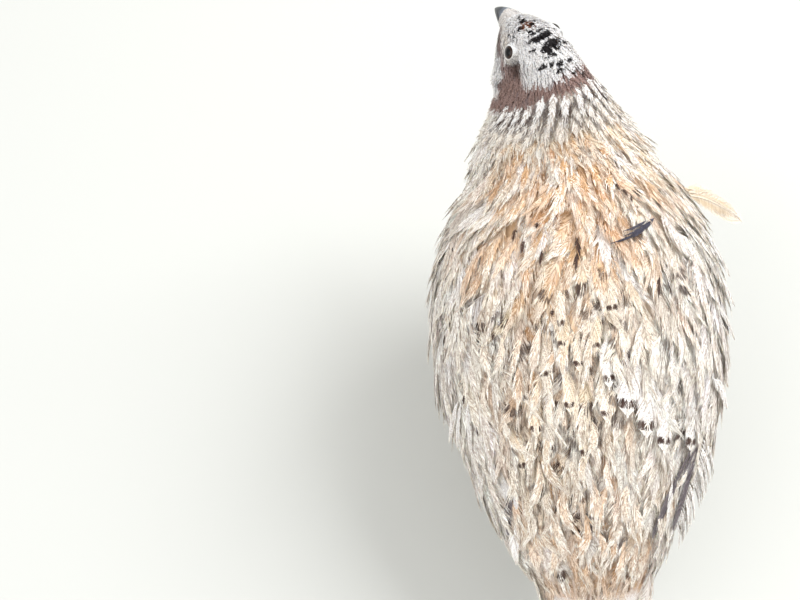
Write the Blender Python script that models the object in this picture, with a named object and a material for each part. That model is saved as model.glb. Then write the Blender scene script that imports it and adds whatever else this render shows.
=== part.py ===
"""A coturnix quail hen, standing with her head turned to her left: a still, life-size model.

The frame has +Z up and the bird faces -Y, so +X is her left side. Lengths in this file are
millimetres until a mesh is made. The body is one loft: a table of stations from the tail's tip
to the base of the bill, each an oval drawn between a point on the back line and a point on the
belly line. The named parts are lengths of that loft, parted by flat cuts, and everything else
is set on its surface.
"""
import math

import bmesh
import bpy
import numpy as np
from mathutils import Matrix, Vector

MM = 0.001           # metres in a millimetre
GAP = 0.3            # space kept between touching parts
AROUND = 36          # points round the body loft

VANE_THICK = 0.55    # thickness of the vane of a flight feather
VANE_SHARES = (0, 0.3, 0.58, 0.8, 0.93, 1)         # places along a vane, root to tip
VANE_WIDTHS = (0.4, 0.72, 1, 0.94, 0.62, 0.16)     # its width there, as a share of the widest
STEEPEST = 0.27      # the most that a vane tilts, as rise over width
NARROWEST = 7.0      # the least width of a wing feather's vane

# The tail's tiers: how many feathers, how many degrees they spread to each side of the back
# line (of the belly line where less than 0), the stations of their roots and longest tips, half
# a vane's width, the heights of root and tip, and how many stations shorter the outermost are.
TAIL_TIERS = [
    (8, 58, (1.45, 0.02), 3.9, (-1.8, -1.0), 0.30),
    (6, 54, (1.75, 0.60), 4.4, (-1.4, 1.3), 0.25),
    (4, -46, (1.55, 0.50), 4.4, (-1.8, 0.6), 0.20),
]
TAIL_CORE = 0.95     # the station where the tail's solid root ends

# The wing's tiers, low to high: how many feathers, the stations of their roots and of their tips
# at the wing's lower and upper edges, the share of the wing's breadth that they cover, and the
# heights of root and tip over the body.
WING_TIERS = [
    (5, (4.2, 2.35, 2.1), (0.02, 0.80), (1.3, 1.35)),       # primaries
    (7, (4.75, 3.05, 2.55), (0.10, 1.00), (2.0, 2.75)),     # secondaries and tertials
    (7, (5.25, 3.95, 3.60), (0.00, 1.00), (2.9, 3.9)),      # greater coverts
    (6, (5.7, 4.65, 4.35), (0.02, 0.98), (3.4, 4.7)),       # median coverts
    (5, (6.05, 5.35, 5.10), (0.05, 0.95), (2.6, 5.2)),      # lesser coverts
]
# The covert that stands out: its root and tip, each a station and an angle, half its width, and
# the heights of its root and tip over the body.
STRAY_COVERT = ((6.12, 152), (5.74, 163), 3.6, (1.6, 11.5))

# The core of the folded wing: stations and the height of its top over the body.
WING_CORE = [(3.5, 1.3), (4.0, 2.3), (4.5, 3.1), (5.0, 3.7), (5.5, 4.1), (5.9, 3.9), (6.3, 2.0)]

# The stations of the body, tail to bill: the back line's forward reach and height, the belly
# line's forward reach and height, half the width, where between belly and back the widest point
# lies, how far the station leans to the bird's left, and how far it is turned to her left.
STATIONS = np.array([
    (-112, 38, -110, 33.5, 12, 0.50, 0, 0),      # 0 tip of the tail
    (-100, 49, -96, 40, 16, 0.50, 0, 0),         # 1
    (-89, 63, -80, 38, 25, 0.50, 0, 0),          # 2 root of the tail
    (-68, 84, -58, 33, 34, 0.48, 0, 0),          # 3 rump
    (-42, 102, -30, 30, 42.5, 0.47, 0, 0),       # 4
    (-16, 115, 0, 31, 44, 0.47, 0, 0),           # 5 widest
    (4, 119, 32, 41, 39, 0.48, 0, 0),            # 6 shoulders
    (16, 122, 52, 62, 31.5, 0.50, 3.5, 5),       # 7 breast
    (24, 130, 59, 84, 23.5, 0.50, 8, 12),        # 8 neck
    (28.5, 140, 60, 102, 16.8, 0.50, 10, 22),    # 9
    (34.5, 148.3, 58, 114.5, 13.2, 0.47, 11, 29),     # 10 nape and throat
    (44, 152.8, 57.5, 125.5, 11.1, 0.46, 11.7, 31),   # 11 crown and cheeks
    (54.5, 150.4, 60, 132.3, 7.7, 0.48, 11.4, 31),    # 12 forehead
    (62.5, 144.8, 63.6, 137.4, 3.9, 0.50, 10.4, 31),  # 13 base of the bill
], float)
TURN_AXIS = 40.0     # forward reach of the upright axis that the neck turns about
TAIL_CUT = 1.9       # the stations where the body is parted
NECK_CUT = 7.3
HEAD_CUT = 9.7
BILL_CUT = 13.0

BILL_TIP = (71.0, 139.4)         # forward reach and height of the tip, before the head's turn
MOUTH_BACK = 140.6               # height of the line of the mouth where it meets the face
MOUTH_DIP = 1.2                  # how far that line falls to the tip
LOWER_BILL_SHORT = 1.6           # how much shorter the lower bill is

EYE_AT = (11.25, 34.0)           # the station and the angle of the face where the eye looks out
EYE_SUNK = 2.05                  # how far below the face its centre lies
EYE_RADIUS = 3.1
LID_RING = 2.9                   # radius of the lids' rim, and of its round section
LID_THICK = 0.75
LID_OUT = 1.75                   # how far the rim's plane lies out from the eye's centre
NOSTRIL = (2.5, 65.4, 142.2)     # centre of the slit above the line of the mouth

FOOT_X = 16.0                    # how far each foot stands from the middle
FOOT_F = -21.0                   # forward reach of the ball of the foot
BALL_UP = 2.6                    # height of the ball of the foot's centre
ANKLE = (16.0, -33.0, 25.5)      # across, forward and up
THIGH_TOP = (16.0, -17.0, 47.0)  # the same for the top of the drumstick, inside the belly
ANKLE_LEAN = 20.0                # degrees that the leg still slopes back as it reaches the ankle
ANKLE_BEND = 6.0                 # how far below the ankle the shank has turned forward
TARSUS_RADIUS = 1.75
SOLE_SINK = 0.7                  # how much of each toe the flat of the sole takes off
# Each toe: its name's turn from straight ahead, outward in degrees, length and radius.
TOES = [(-26, 17.0, 1.45), (2, 22.5, 1.6), (31, 17.5, 1.4), (176, 7.5, 1.2)]
CLAW = 4.2                       # length of a front claw


def catmull_rom(rows, t):
    """Rows of a table at the places t: a smooth curve through the rows, straight past its ends."""
    rows = np.asarray(rows, float)
    last = len(rows) - 1
    t = np.clip(np.asarray(t, float), 0, last - 1e-9)
    i = t.astype(int)
    u = (t - i)[:, None]
    p1 = rows[i]
    p2 = rows[i + 1]
    p0 = np.where((i == 0)[:, None], 2 * p1 - p2, rows[np.maximum(i - 1, 0)])
    p3 = np.where((i == last - 1)[:, None], 2 * p2 - p1, rows[np.minimum(i + 2, last)])
    return 0.5 * (2 * p1 + (p2 - p0) * u + (2 * p0 - 5 * p1 + 4 * p2 - p3) * u ** 2
                  + (3 * p1 - p0 - 3 * p2 + p3) * u ** 3)


def posed(points, s):
    """Across, forward and up to x, y and z: turned and leant as the body is at the stations s."""
    points = np.atleast_2d(np.asarray(points, float))
    rows = catmull_rom(STATIONS, np.broadcast_to(np.asarray(s, float), len(points)))
    turn = np.radians(rows[:, 7])
    ahead = points[:, 1] - TURN_AXIS
    x = points[:, 0] * np.cos(turn) + ahead * np.sin(turn) + rows[:, 6]
    forward = ahead * np.cos(turn) - points[:, 0] * np.sin(turn) + TURN_AXIS
    return np.stack([x, -forward, points[:, 2]], axis=1)


def body(s, phi):
    """The body's surface at stations s and angles phi: 0 is her left, pi/2 the back line."""
    s = np.asarray(s, float).ravel()
    phi = np.asarray(phi, float).ravel()
    rows = catmull_rom(STATIONS, s)
    middle = rows[:, 5]
    rise = np.sin(phi)
    up = middle + np.where(rise > 0, 1 - middle, middle) * rise
    line = rows[:, 2:4] + (rows[:, 0:2] - rows[:, 2:4]) * up[:, None]
    return posed(np.column_stack([rows[:, 4] * np.cos(phi), line]), s)


def body_normal(s, phi):
    """The outward direction of the body's surface, from small steps along and round it."""
    s = np.asarray(s, float).ravel()
    phi = np.asarray(phi, float).ravel()
    step = 1e-3
    along = body(s + step, phi) - body(s - step, phi)
    round_it = body(s, phi + step) - body(s, phi - step)
    normal = np.cross(round_it, along)
    return normal / np.linalg.norm(normal, axis=1)[:, None]


def section_normal(s):
    """The direction, towards the bill, that the flat section at one station faces."""
    a, b, c = body([s] * 3, [0.0, math.pi / 2, math.pi])
    normal = np.cross(a - b, c - b)
    return -normal / np.linalg.norm(normal)


def material(name, colour, roughness):
    made = bpy.data.materials.new(name)
    made.use_nodes = True
    shader = made.node_tree.nodes["Principled BSDF"]
    shader.inputs["Base Color"].default_value = (*colour, 1.0)
    shader.inputs["Roughness"].default_value = roughness
    shader.inputs["Metallic"].default_value = 0.0
    return made


def add_object(name, points, faces, finish=None):
    """One closed mesh from points in millimetres, its faces turned outwards."""
    mesh = bpy.data.meshes.new(name)
    mesh.from_pydata([tuple(p) for p in np.asarray(points, float) * MM], [], faces)
    shape = bmesh.new()
    shape.from_mesh(mesh)
    bmesh.ops.recalc_face_normals(shape, faces=shape.faces)
    shape.to_mesh(mesh)
    shape.free()
    if finish:
        mesh.materials.append(finish)
    made = bpy.data.objects.new(name, mesh)
    bpy.context.scene.collection.objects.link(made)
    return made


def loft(name, rings, finish=None, crescent=False):
    """A closed solid through rings of points, with a fan of triangles on each end.

    A crescent's rings run out along its inner side and back along its outer side, so its ends
    are closed by strips from side to side.
    """
    rings = np.asarray(rings, float)
    count, around = rings.shape[:2]
    points = list(rings.reshape(-1, 3))
    faces = []
    for i in range(count - 1):
        for j in range(around):
            a = i * around + j
            b = i * around + (j + 1) % around
            faces.append((a, b, b + around))
            faces.append((a, b + around, a + around))
    for start, turned in ((0, 1), ((count - 1) * around, -1)):
        end = []
        if crescent:
            for j in range(around // 2 - 1):
                end += [(j, around - 1 - j, j + 1), (j + 1, around - 1 - j, around - 2 - j)]
        else:
            middle = len(points) - start
            points.append(rings[start // around].mean(axis=0))
            end = [(middle, (j + 1) % around, j) for j in range(around)]
        faces += [tuple(start + k for k in face[::turned]) for face in end]
    return add_object(name, points, faces, finish)


def body_rings(start, end, count, lift=0.0):
    """Rings of the body from one station to another, pushed out from its surface by lift."""
    phi = np.arange(AROUND) * 2 * math.pi / AROUND
    rings = []
    for s in np.linspace(start, end, count):
        ring = body(np.full(AROUND, s), phi)
        if lift:
            ring = ring + lift * body_normal(np.full(AROUND, s), phi)
        rings.append(ring)
    return np.array(rings)


def parted(rings, start, end):
    """The same rings with an end moved half a gap off the flat cut that it lies on."""
    if start is not None:
        rings[0] = rings[0] + section_normal(start) * GAP / 2
    if end is not None:
        rings[-1] = rings[-1] - section_normal(end) * GAP / 2
    return rings


def united(target, pieces):
    """One solid of target and all the pieces, which are closed meshes with sunk roots."""
    group = bpy.data.collections.new(target.name + "_pieces")
    bpy.context.scene.collection.children.link(group)
    for piece in pieces:
        group.objects.link(piece)
    joined = target.modifiers.new("union", "BOOLEAN")
    joined.operation = "UNION"
    joined.operand_type = "COLLECTION"
    joined.collection = group
    joined.solver = "EXACT"
    apply_modifiers(target)
    for piece in pieces:
        bpy.data.objects.remove(piece)
    bpy.data.collections.remove(group)
    return keep_largest(target)


def cut(target, cutters):
    """Target with each cutter's shape taken off it."""
    for cutter in cutters:
        taken = target.modifiers.new("cut", "BOOLEAN")
        taken.operation = "DIFFERENCE"
        taken.object = cutter
        taken.solver = "EXACT"
        apply_modifiers(target)
        bpy.data.objects.remove(cutter)
    return keep_largest(target)


def apply_modifiers(target):
    """Puts the mesh that the modifiers make in place of the object's own."""
    graph = bpy.context.evaluated_depsgraph_get()
    graph.update()
    old = target.data
    target.data = bpy.data.meshes.new_from_object(target.evaluated_get(graph))
    target.data.name = target.name
    target.modifiers.clear()
    bpy.data.meshes.remove(old)


def keep_largest(target):
    """Target with only its largest closed surface, and no doubled or needle-thin corners."""
    shape = bmesh.new()
    shape.from_mesh(target.data)
    bmesh.ops.remove_doubles(shape, verts=shape.verts, dist=0.000002)
    bmesh.ops.triangulate(shape, faces=shape.faces)
    shape.verts.ensure_lookup_table()
    left = set(shape.verts)
    shells = []
    while left:
        stack = [left.pop()]
        shell = set(stack)
        while stack:
            for edge in stack.pop().link_edges:
                for vert in edge.verts:
                    if vert in left:
                        left.discard(vert)
                        shell.add(vert)
                        stack.append(vert)
        shells.append(shell)
    best = max(shells, key=surface_reach)
    scraps = [v for v in shape.verts if v not in best]
    bmesh.ops.delete(shape, geom=scraps, context="VERTS")
    shape.to_mesh(target.data)
    shape.free()
    return target


def surface_reach(shell):
    """The diagonal of the box round a set of corners."""
    places = np.array([v.co[:] for v in shell])
    return float(np.linalg.norm(places.max(axis=0) - places.min(axis=0)))


def tube(name, path, radii, sides=10, starts=None, ends=None, finish=None):
    """A tapering tube through the points of a path, whose flat ends face starts and ends."""
    path = np.asarray(path, float)
    heading = np.gradient(path, axis=0)
    heading /= np.linalg.norm(heading, axis=1)[:, None]
    if starts is not None:
        heading[0] = starts
    if ends is not None:
        heading[-1] = ends
    upright = np.array([0.0, 0.0, 1.0])
    if abs(heading[:, 2]).max() > 0.9:
        upright = np.array([0.0, -1.0, 0.0])
    rings = []
    for place, ahead, radius in zip(path, heading, radii):
        side = np.cross(ahead, upright)
        side /= np.linalg.norm(side)
        over = np.cross(side, ahead)
        angle = np.arange(sides) * 2 * math.pi / sides
        rings.append(place + radius * (np.outer(np.cos(angle), side)
                                       + np.outer(np.sin(angle), over)))
    return loft(name, rings, finish)


def sphere(centre, radius, segments, rings):
    """Points and faces of a ball, its poles on the line across the head."""
    points = [(1.0, 0.0, 0.0), (-1.0, 0.0, 0.0)]
    for i in range(1, rings):
        polar = math.pi * i / rings
        for j in range(segments):
            turn = 2 * math.pi * j / segments
            points.append((math.cos(polar), math.sin(polar) * math.cos(turn),
                           math.sin(polar) * math.sin(turn)))
    faces = []
    for j in range(segments):
        k = (j + 1) % segments
        faces.append((0, 2 + j, 2 + k))
        end = 2 + (rings - 2) * segments
        faces.append((1, end + k, end + j))
        for i in range(rings - 2):
            a = 2 + i * segments
            faces.append((a + j, a + segments + j, a + segments + k))
            faces.append((a + j, a + segments + k, a + k))
    return np.array(centre) + radius * np.array(points), faces


def eye_frame(side):
    """The centre of one eye, the way it looks, and two directions across that."""
    station, angle = EYE_AT
    phi = math.radians(angle if side > 0 else 180 - angle)
    out = body_normal([station], [phi])[0]
    centre = body([station], [phi])[0] - EYE_SUNK * out
    along = np.cross([0.0, 0.0, 1.0], out)
    along /= np.linalg.norm(along)
    return centre, out, along, np.cross(out, along)


def eye_ball(name, side, radius, finish=None):
    """A ball round the eye's centre, its poles on the line of sight."""
    centre, out, along, up = eye_frame(side)
    points, faces = sphere((0, 0, 0), radius, 16, 9)
    return add_object(name, centre + points @ np.array([out, along, up]), faces, finish)


def vane(root, tip, half, lift, spacing, turned=1):
    """One feather's flat vane over the body: a thin tapering blade, its root to be sunk.

    root and tip are each a station and an angle. half is half the width at the broadest, and
    lift is the height of the middle over the body at the root and the tip. Feathers a spacing
    apart lie like tiles, so each is tilted by the rise that lets the next lie on it; turned is
    1 where the edge at the smaller angle is the raised one.
    """
    shares = np.array(VANE_SHARES)
    s = root[0] + (tip[0] - root[0]) * shares
    phi = np.radians(root[1] + (tip[1] - root[1]) * shares)
    place = body(s, phi)
    out = body_normal(s, phi)
    along = np.gradient(place, shares, axis=0)
    across = np.cross(along, out)
    across /= np.linalg.norm(across, axis=1)[:, None]
    smaller = body(s, phi - 0.01) - place
    across *= np.sign(np.sum(across * smaller, axis=1))[:, None]
    width = half * np.array(VANE_WIDTHS)
    rise = width * min(STEEPEST, (VANE_THICK + GAP) / spacing) * turned
    height = lift[0] + (lift[1] - lift[0]) * shares ** 0.8
    thick = VANE_THICK * np.interp(shares, [0, 0.7, 1], [1, 1, 0.7]) / 2
    corners = []
    for edge, face in ((-1, 1), (1, 1), (1, -1), (-1, -1)):
        corners.append(place + across * (edge * width)[:, None]
                       + out * (height + edge * rise + face * thick)[:, None])
    points = np.stack(corners, axis=1)
    faces = []
    last = len(shares) - 1
    for i in range(last):
        a = 4 * i
        b = a + 4
        faces += [(a, a + 1, b + 1), (a, b + 1, b)]
        faces += [(a + 3, b + 2, a + 2), (a + 3, b + 3, b + 2)]
        faces += [(a + 1, a + 2, b + 2), (a + 1, b + 2, b + 1)]
        faces += [(a + 3, a, b), (a + 3, b, b + 3)]
    end = 4 * last
    faces += [(0, 2, 1), (0, 3, 2), (end, end + 1, end + 2), (end, end + 2, end + 3)]
    return add_object("vane", points.reshape(-1, 3), faces)


def make_tail(finish):
    """The tail's root with its feathers: rectrices in a roof, and coverts over and under them."""
    tail = loft("tail", parted(body_rings(TAIL_CORE, TAIL_CUT, 5), None, TAIL_CUT), finish)
    vanes = []
    for count, spread, stations, half, lift, shorter in TAIL_TIERS:
        for k in range(count):
            side = 2 * (k + 0.5) / count - 1
            middle = 90 if spread > 0 else -90
            reach = stations[1] + shorter * abs(side) ** 1.5
            angle = middle - side * abs(spread)
            low_is_out = 1 if (side > 0) == (spread > 0) else -1
            spread_out = body([reach] * 2, np.radians([middle - abs(spread), middle + abs(spread)]))
            spacing = float(np.linalg.norm(spread_out[0] - spread_out[1])) / count
            vanes.append(vane((stations[0], angle), (reach, angle), half, lift,
                              spacing, low_is_out))
    return united(tail, vanes)


def make_torso(finish):
    return loft("torso", parted(body_rings(TAIL_CUT, NECK_CUT, 20), TAIL_CUT, NECK_CUT), finish)


def make_neck(finish):
    return loft("neck", parted(body_rings(NECK_CUT, HEAD_CUT, 10), NECK_CUT, HEAD_CUT), finish)


def lid_rim(side):
    """The rims of both lids: a ring with a round section, set round one eye."""
    centre, out, along, up = eye_frame(side)
    turns, sides = 16, 6
    points = []
    for turn in np.arange(turns) * 2 * math.pi / turns:
        ray = math.cos(turn) * along + math.sin(turn) * up
        for angle in np.arange(sides) * 2 * math.pi / sides:
            reach = LID_RING + LID_THICK * math.cos(angle)
            points.append(centre + out * (LID_OUT + LID_THICK * math.sin(angle)) + ray * reach)
    faces = []
    for i in range(turns):
        for j in range(sides):
            a = i * sides + j
            b = i * sides + (j + 1) % sides
            c = ((i + 1) % turns) * sides
            faces.append((a, b, c + (j + 1) % sides))
            faces.append((a, c + (j + 1) % sides, c + j))
    return add_object("lid_rim", points, faces)


def make_head(finish):
    head = loft("head", parted(body_rings(HEAD_CUT, BILL_CUT, 13), HEAD_CUT, BILL_CUT), finish)
    united(head, [lid_rim(side) for side in (1, -1)])
    return cut(head, [eye_ball("socket", side, EYE_RADIUS + GAP) for side in (1, -1)])


def bill_plane(up):
    """Forward reach of the flat front of the face at a height."""
    back, belly = STATIONS[13, 0:2], STATIONS[13, 2:4]
    return back[0] + (belly[0] - back[0]) * (back[1] - up) / (back[1] - belly[1])


def bill_rings(tip_forward, edge, ridge, width):
    """Rings of one half of the bill from the face to its tip.

    edge gives the height of the line of the mouth, ridge that of the far edge, and width half
    the width, each for shares of the way to the tip. A ring is half an oval with a flat side.
    """
    arc = np.linspace(0, math.pi, 11)
    rings = []
    for share in (0.0, 0.2, 0.4, 0.6, 0.78, 0.9, 0.97):
        low, high, half = edge(share), ridge(share), width(share)
        up = low + (high - low) * np.sin(arc)
        start = np.array([bill_plane(u) for u in up]) + GAP / 2
        forward = start + (tip_forward - start) * share
        rings.append(posed(np.column_stack([half * np.cos(arc), forward, up]), BILL_CUT))
    return rings


def mouth_line(share):
    return MOUTH_BACK - MOUTH_DIP * share ** 1.6


def make_bill_upper(finish):
    top = STATIONS[13, 1]

    def ridge(share):
        return top - (top - BILL_TIP[1]) * share ** 2.1

    def width(share):
        return STATIONS[13, 4] * (1 - share) ** 0.75 + 0.3 * share

    upper = loft("bill_upper", bill_rings(BILL_TIP[0], mouth_line, ridge, width), finish)
    across, forward, up = NOSTRIL
    slits = []
    for side in (1, -1):
        points, faces = sphere((0, 0, 0), 1.0, 12, 8)
        points = points * [1.1, 1.5, 0.55] + [side * across, forward, up]
        slits.append(add_object("slit", posed(points, BILL_CUT), faces))
    return cut(upper, slits)


def make_bill_lower(finish):
    bottom = STATIONS[13, 3]

    def edge(share):
        return mouth_line(share) - GAP

    def ridge(share):
        return bottom + (mouth_line(1) - GAP - 0.5 - bottom) * share ** 1.4

    def width(share):
        return (STATIONS[13, 4] - 0.5) * (1 - share) ** 0.75 + 0.25 * share

    tip = BILL_TIP[0] - LOWER_BILL_SHORT
    return loft("bill_lower", bill_rings(tip, edge, ridge, width), finish)


def leg_point(place, side):
    """Across, forward and up to x, y and z for one leg, which the turn of the neck leaves alone."""
    return np.array([side * place[0], -place[1], place[2]])


def bezier(a, b, c, shares):
    """Points of a curve from a to c that leaves a towards b and reaches c from b."""
    u = np.asarray(shares, float)[:, None]
    return a * (1 - u) ** 2 + 2 * b * u * (1 - u) + c * u ** 2


def ankle_down():
    """The direction in which the leg passes the ankle."""
    lean = math.radians(ANKLE_LEAN)
    return np.array([0.0, math.sin(lean), -math.cos(lean)])


def make_thigh(name, side, finish):
    """The feathered drumstick, cut clear of the belly that it grows from."""
    ankle = leg_point(ANKLE, side)
    shares = np.linspace(0, 1, 9)
    path = bezier(leg_point(THIGH_TOP, side), ankle - ankle_down() * 14, ankle, shares)
    radii = np.interp(shares, [0, 0.35, 0.7, 0.9, 1], [11, 11.5, 8.0, 4.4, 2.7])
    thigh = tube(name, path, radii, sides=20, ends=ankle_down(), finish=finish)
    belly = loft("belly_cutter", body_rings(TAIL_CUT, NECK_CUT, 20, lift=GAP))
    return cut(thigh, [belly])


def toe_pieces(side):
    """Each toe as a tube with knuckles that ends in a claw, rooted in the ball of the foot."""
    ball_at = np.array([side * FOOT_X, -FOOT_F, BALL_UP])
    pieces = []
    for turn, length, radius in TOES:
        angle = math.radians(turn) * side
        ahead = np.array([math.sin(angle), -math.cos(angle), 0.0])
        low = radius - SOLE_SINK
        claw = CLAW * (0.75 if abs(turn) > 90 else 1.0)
        shares = np.linspace(0, 1, 7)
        knuckles = 1 + 0.08 * np.cos(shares * 6 * math.pi)
        path = [ball_at - 0.4 * ahead + [0, 0, -0.4]]
        path += [ball_at * [1, 1, 0] + ahead * length * u + [0, 0, low] for u in shares[1:]]
        radii = list(radius * (1 - 0.22 * shares) * knuckles)
        for u in (0.3, 0.7, 1.0):
            path.append(ball_at * [1, 1, 0] + ahead * (length + claw * u)
                        + [0, 0, low * (1 + 0.5 * math.sin(math.pi * u)) * (1 - 0.55 * u)])
            radii.append(radius * 0.66 * (1 - u) + 0.22)
        pieces.append(tube("toe", path, radii, sides=8))
    return pieces


def make_foot(name, side, finish):
    """Scaled shank, ball and toes with their claws, with flat soles at the floor."""
    down = ankle_down()
    start = leg_point(ANKLE, side) + down * GAP
    ball_at = np.array([side * FOOT_X, -FOOT_F, BALL_UP])
    shares = np.array([0, 0.12, 0.26, 0.42, 0.6, 0.78, 0.94, 1.0])
    path = bezier(start, start + down * ANKLE_BEND, ball_at, shares)
    path[-1] += [0, 0, -0.9]
    widths = TARSUS_RADIUS * np.array([1.5, 1.42, 1.2, 1.0, 0.97, 1.0, 1.25, 1.3])
    shank = tube(name, path, widths, sides=12, starts=down, finish=finish)
    united(shank, toe_pieces(side))
    bpy.ops.mesh.primitive_cube_add(size=0.2, location=(side * FOOT_X * MM, -FOOT_F * MM, -0.1))
    floor = bpy.context.active_object
    floor.name = "floor_cutter"
    return cut(shank, [floor])


WING_TIP = 2.1       # stations where the folded wing ends and begins
WING_FRONT = 6.3
WING_LIFT = 0.45     # space between the wing and the body
SHOULDER_LIFT = 0.4  # what is added to it at the shoulder, where the neck starts to hollow


def wing_angle(s, share, side):
    """The angle on the body of a share of the wing's breadth, low edge to high, at a station."""
    where = (s - WING_TIP) / (WING_FRONT - WING_TIP)
    low = np.interp(where, [0, 0.15, 0.4, 0.75, 0.9, 1], [-6, -10, -18, -24, -18, -2])
    high = np.interp(where, [0, 0.15, 0.4, 0.75, 0.9, 1], [36, 40, 48, 52, 46, 30])
    angle = low + (high - low) * share
    return angle if side > 0 else 180 - angle


def wing_core(name, side, finish):
    """The folded arm with the bases of its feathers: a shallow swelling on the flank."""
    stations, tops = np.array(WING_CORE).T
    across = np.linspace(0, 1, 10)
    rings = []
    for s in np.linspace(stations[0], stations[-1], 10):
        phi = np.radians([wing_angle(s, share, side) for share in 0.04 + 0.92 * across])
        s_row = np.full(len(phi), s)
        out = body_normal(s_row, phi)
        place = body(s_row, phi)
        lift = WING_LIFT + SHOULDER_LIFT * ((s - WING_TIP) / (WING_FRONT - WING_TIP)) ** 6
        top = np.interp(s, stations, tops)
        rim = lift + 0.5
        outer = rim + (top - rim) * np.sin(math.pi * across) ** 0.5
        rings.append(np.vstack([place + lift * out, (place + outer[:, None] * out)[::-1]]))
    return loft(name, rings, finish, crescent=True)


def make_wing(name, side, finish):
    """The folded wing: its core and, tier over tier, the vanes of its feathers.

    One covert of the right wing stands out from the shoulder.
    """
    wing = wing_core(name, side, finish)
    vanes = []
    for count, (root, tip_low, tip_high), (first, last), lift in WING_TIERS:
        for k in range(count):
            share = first + (last - first) * (k + 0.5) / count
            tip = tip_low + (tip_high - tip_low) * (k + 0.5) / count
            ends = [(s, wing_angle(s, share, side)) for s in (root, tip)]
            middle = (root + 2 * tip) / 3
            breadth = body([middle] * 2, np.radians([wing_angle(middle, first, side),
                                                     wing_angle(middle, last, side)]))
            spacing = float(np.linalg.norm(breadth[0] - breadth[1])) / count
            half = max(0.66 * spacing, NARROWEST / 2)
            vanes.append(vane(*ends, half, lift, spacing, side))
    if side < 0:
        root, tip, half, lift = STRAY_COVERT
        vanes.append(vane(root, tip, half, lift, 2 * half))
    return united(wing, vanes)


def centre_on_floor():
    """Moves every mesh so that the middle of the whole model's base is the origin."""
    bpy.context.view_layer.update()
    solids = [o for o in bpy.context.scene.objects if o.type == "MESH"]
    places = np.array([corner[:] for o in solids for corner in o.bound_box])
    shift = -(places.max(axis=0) + places.min(axis=0)) / 2
    for solid in solids:
        solid.data.transform(Matrix.Translation(Vector((shift[0], shift[1], 0.0))))


def main():
    for old in list(bpy.data.objects):
        bpy.data.objects.remove(old)
    feathers = material("buff_feathers", (0.72, 0.58, 0.42), 0.85)
    white = material("white_head_feathers", (0.78, 0.73, 0.66), 0.85)
    bill = material("slate_bill", (0.10, 0.10, 0.12), 0.45)
    eye = material("dark_eye", (0.02, 0.015, 0.012), 0.1)
    skin = material("pale_leg_skin", (0.62, 0.45, 0.34), 0.6)
    make_tail(feathers)
    make_torso(feathers)
    make_neck(feathers)
    make_head(white)
    make_bill_upper(bill)
    make_bill_lower(bill)
    for name, side in (("left", 1), ("right", -1)):
        eye_ball("eye_" + name, side, EYE_RADIUS, eye)
        make_wing("wing_" + name, side, feathers)
        make_thigh("thigh_" + name, side, feathers)
        make_foot("foot_" + name, side, skin)
    centre_on_floor()
    for solid in bpy.context.scene.objects:
        solid.data.shade_smooth()
        solid.data.set_sharp_from_angle(angle=math.radians(40))


main()
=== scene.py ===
"""A coturnix quail hen: her skin, plumage, bill, eyes and feet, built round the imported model.

Lengths are millimetres in the bird's own frame, where she faces -Y and +X is her left, until a
mesh is made. The plumage is grown feather by feather on the same loft that the solids come from.
"""

import math

import bpy
import numpy as np
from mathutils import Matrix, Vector


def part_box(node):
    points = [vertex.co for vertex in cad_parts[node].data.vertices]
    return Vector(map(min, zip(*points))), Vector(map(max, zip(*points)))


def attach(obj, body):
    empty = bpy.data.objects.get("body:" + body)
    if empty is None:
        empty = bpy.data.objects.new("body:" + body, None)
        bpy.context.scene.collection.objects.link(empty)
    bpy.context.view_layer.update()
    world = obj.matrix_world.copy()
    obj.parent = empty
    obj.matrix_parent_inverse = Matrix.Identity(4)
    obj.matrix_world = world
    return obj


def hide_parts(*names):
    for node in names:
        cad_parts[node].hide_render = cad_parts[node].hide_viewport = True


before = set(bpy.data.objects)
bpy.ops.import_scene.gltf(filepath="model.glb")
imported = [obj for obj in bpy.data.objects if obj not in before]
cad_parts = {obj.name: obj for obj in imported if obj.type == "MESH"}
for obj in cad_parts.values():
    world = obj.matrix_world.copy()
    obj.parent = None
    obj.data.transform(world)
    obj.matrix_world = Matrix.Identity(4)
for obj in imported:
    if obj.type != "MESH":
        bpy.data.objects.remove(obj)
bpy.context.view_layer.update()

MM = 0.001
BACK = math.pi / 2                # the angle of the back line, where 0 is her left side
SIDES = ((1, "left"), (-1, "right"))

# The stations of the body, tail to bill: the back line's forward reach and height, the belly
# line's forward reach and height, half the width, where between belly and back the widest point
# lies, how far the station leans to the bird's left, and how far it is turned to her left.
STATIONS = np.array([
    (-112, 38, -110, 33.5, 12, 0.50, 0, 0),
    (-100, 49, -96, 40, 16, 0.50, 0, 0),
    (-89, 63, -80, 38, 25, 0.50, 0, 0),
    (-68, 84, -58, 33, 34, 0.48, 0, 0),
    (-42, 102, -30, 30, 42.5, 0.47, 0, 0),
    (-16, 115, 0, 31, 44, 0.47, 0, 0),
    (4, 119, 32, 41, 39, 0.48, 0, 0),
    (16, 122, 52, 62, 31.5, 0.50, 3.5, 5),
    (24, 130, 59, 84, 23.5, 0.50, 8, 12),
    (28.5, 140, 60, 102, 16.8, 0.50, 10, 22),
    (34.5, 148.3, 58, 114.5, 13.2, 0.47, 11, 29),
    (44, 152.8, 57.5, 125.5, 11.1, 0.46, 11.7, 31),
    (54.5, 150.4, 60, 132.3, 7.7, 0.48, 11.4, 31),
    (62.5, 144.8, 63.6, 137.4, 3.9, 0.50, 10.4, 31),
], float)
TURN_AXIS = 40.0                  # forward reach of the upright axis that the neck turns about
LAST = len(STATIONS) - 1          # the base of the bill

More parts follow.
